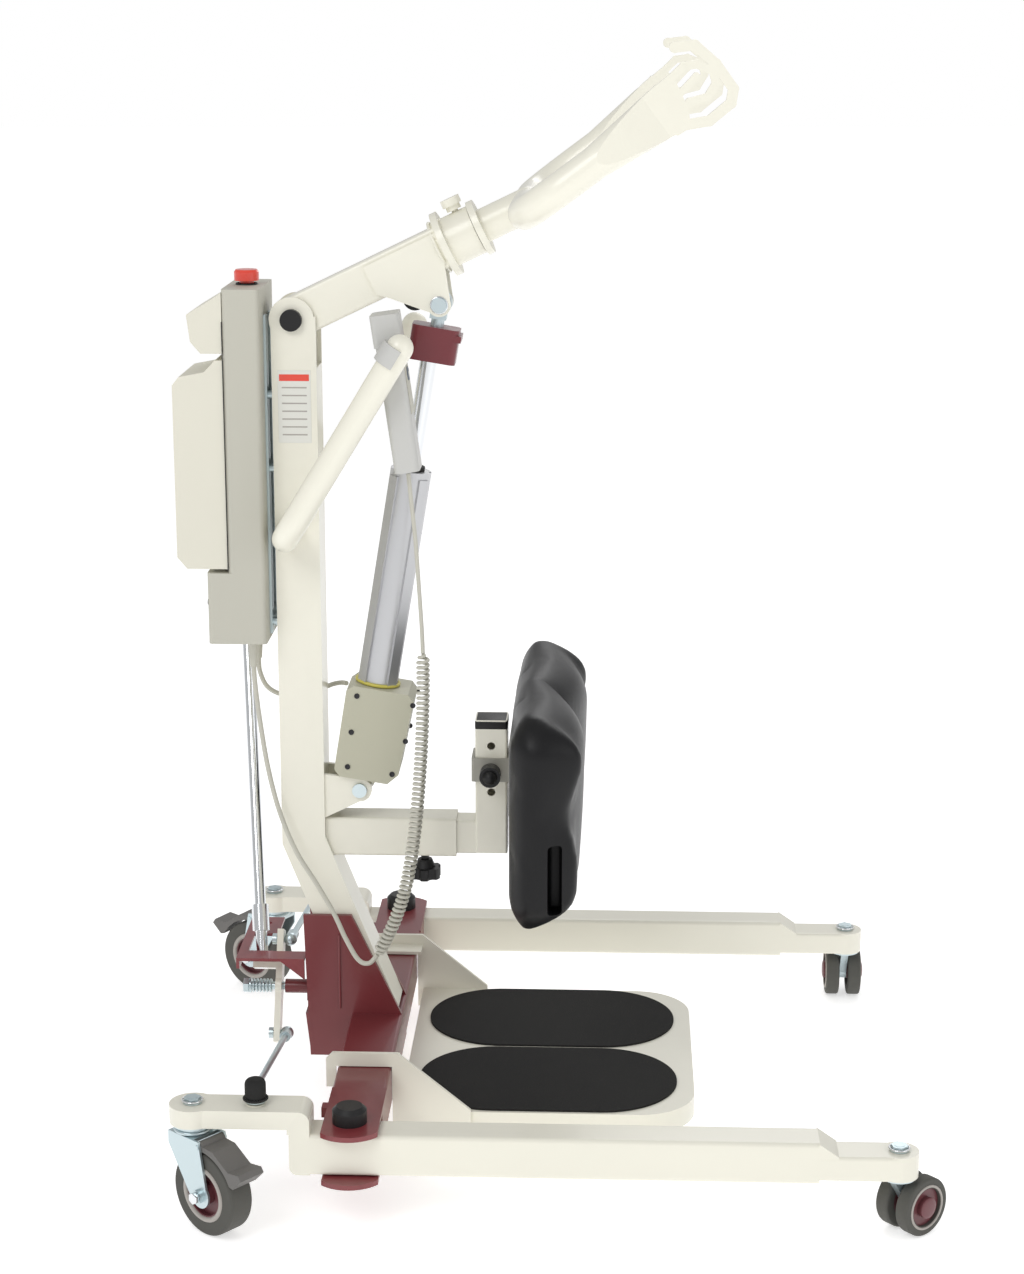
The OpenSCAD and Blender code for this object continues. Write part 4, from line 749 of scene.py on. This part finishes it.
# Black boots over the tie rods' outer ends, and the knee post's cap
for s in (-1, 1):
    side = "right" if s < 0 else "left"
    boot = disc(0.0123, 0.0274, at=(BOOT_X, s * LEG_Y, 0.1662))
    bevel(boot, 0.0065, 5)
    rib = ring(0.0132, 0.0016, at=(BOOT_X, s * LEG_Y, 0.1560))
    done(boot, f"tie_rod_boot_{side}", BLACK_RUBBER, f"tie_rod_{side}")
    done(rib, f"tie_rod_boot_rib_{side}", BLACK_RUBBER, f"tie_rod_{side}")
cap = cube((0.0406, 0.0406, 0.0134), (MAST_BACK + 0.262, 0, 0.5066))
bevel(cap, 0.003, 3)
done(cap, "knee_post_cap", BLACK_PLASTIC, "knee_arm")


# ------------------------------------------------------------ floor and light
deselect()
bpy.ops.mesh.primitive_plane_add(size=60.0, location=(0, 0, -0.0005))
floor = bpy.context.object
floor.name = "floor"
PALE = finish_material("pale_floor", (0.9, 0.9, 0.9), 0.8, dust=0.0, grain=(30.0, 0.01, 0.0))
pale_shader = next(n for n in PALE.node_tree.nodes if n.type == "BSDF_PRINCIPLED")
pale_shader.inputs["Emission Color"].default_value = (1.0, 1.0, 1.0, 1)
pale_shader.inputs["Emission Strength"].default_value = 0.52
floor.data.materials.append(PALE)

# White seen behind the lift, and a dimmer white that lights it
world = bpy.data.worlds.new("studio")
bpy.context.scene.world = world
world.use_nodes = True
sky = world.node_tree
backdrop = next(n for n in sky.nodes if n.type == "BACKGROUND")
backdrop.inputs["Color"].default_value = (1.0, 1.0, 1.0, 1)
backdrop.inputs["Strength"].default_value = 1.0
ambient = sky.nodes.new("ShaderNodeBackground")
ambient.inputs["Color"].default_value = (1.0, 1.0, 1.0, 1)
ambient.inputs["Strength"].default_value = 0.55
chooser = sky.nodes.new("ShaderNodeMixShader")
rays = sky.nodes.new("ShaderNodeLightPath")
sky.links.new(rays.outputs["Is Camera Ray"], chooser.inputs["Fac"])
sky.links.new(ambient.outputs["Background"], chooser.inputs[1])
sky.links.new(backdrop.outputs["Background"], chooser.inputs[2])
surface = next(n for n in sky.nodes if n.type == "OUTPUT_WORLD")
sky.links.new(chooser.outputs["Shader"], surface.inputs["Surface"])


def soft_light(name, at, target, size, power):
    data = bpy.data.lights.new(name, "AREA")
    data.shape = "DISK"
    data.size = size
    data.energy = power
    lamp = bpy.data.objects.new(name, data)
    lamp.location = at
    lamp.rotation_euler = (Vector(target) - Vector(at)).to_track_quat("-Z", "Y").to_euler()
    bpy.context.scene.collection.objects.link(lamp)


CENTRE = (0, 0, 0.6)
soft_light("key", (-1.6, -2.6, 3.0), CENTRE, 1.8, 36)
soft_light("fill", (2.6, -1.8, 1.8), CENTRE, 2.2, 14)
soft_light("back", (0.6, 2.8, 2.6), CENTRE, 2.0, 22)
bpy.context.scene.view_settings.view_transform = "Standard"
bpy.context.scene.view_settings.exposure = 0.0
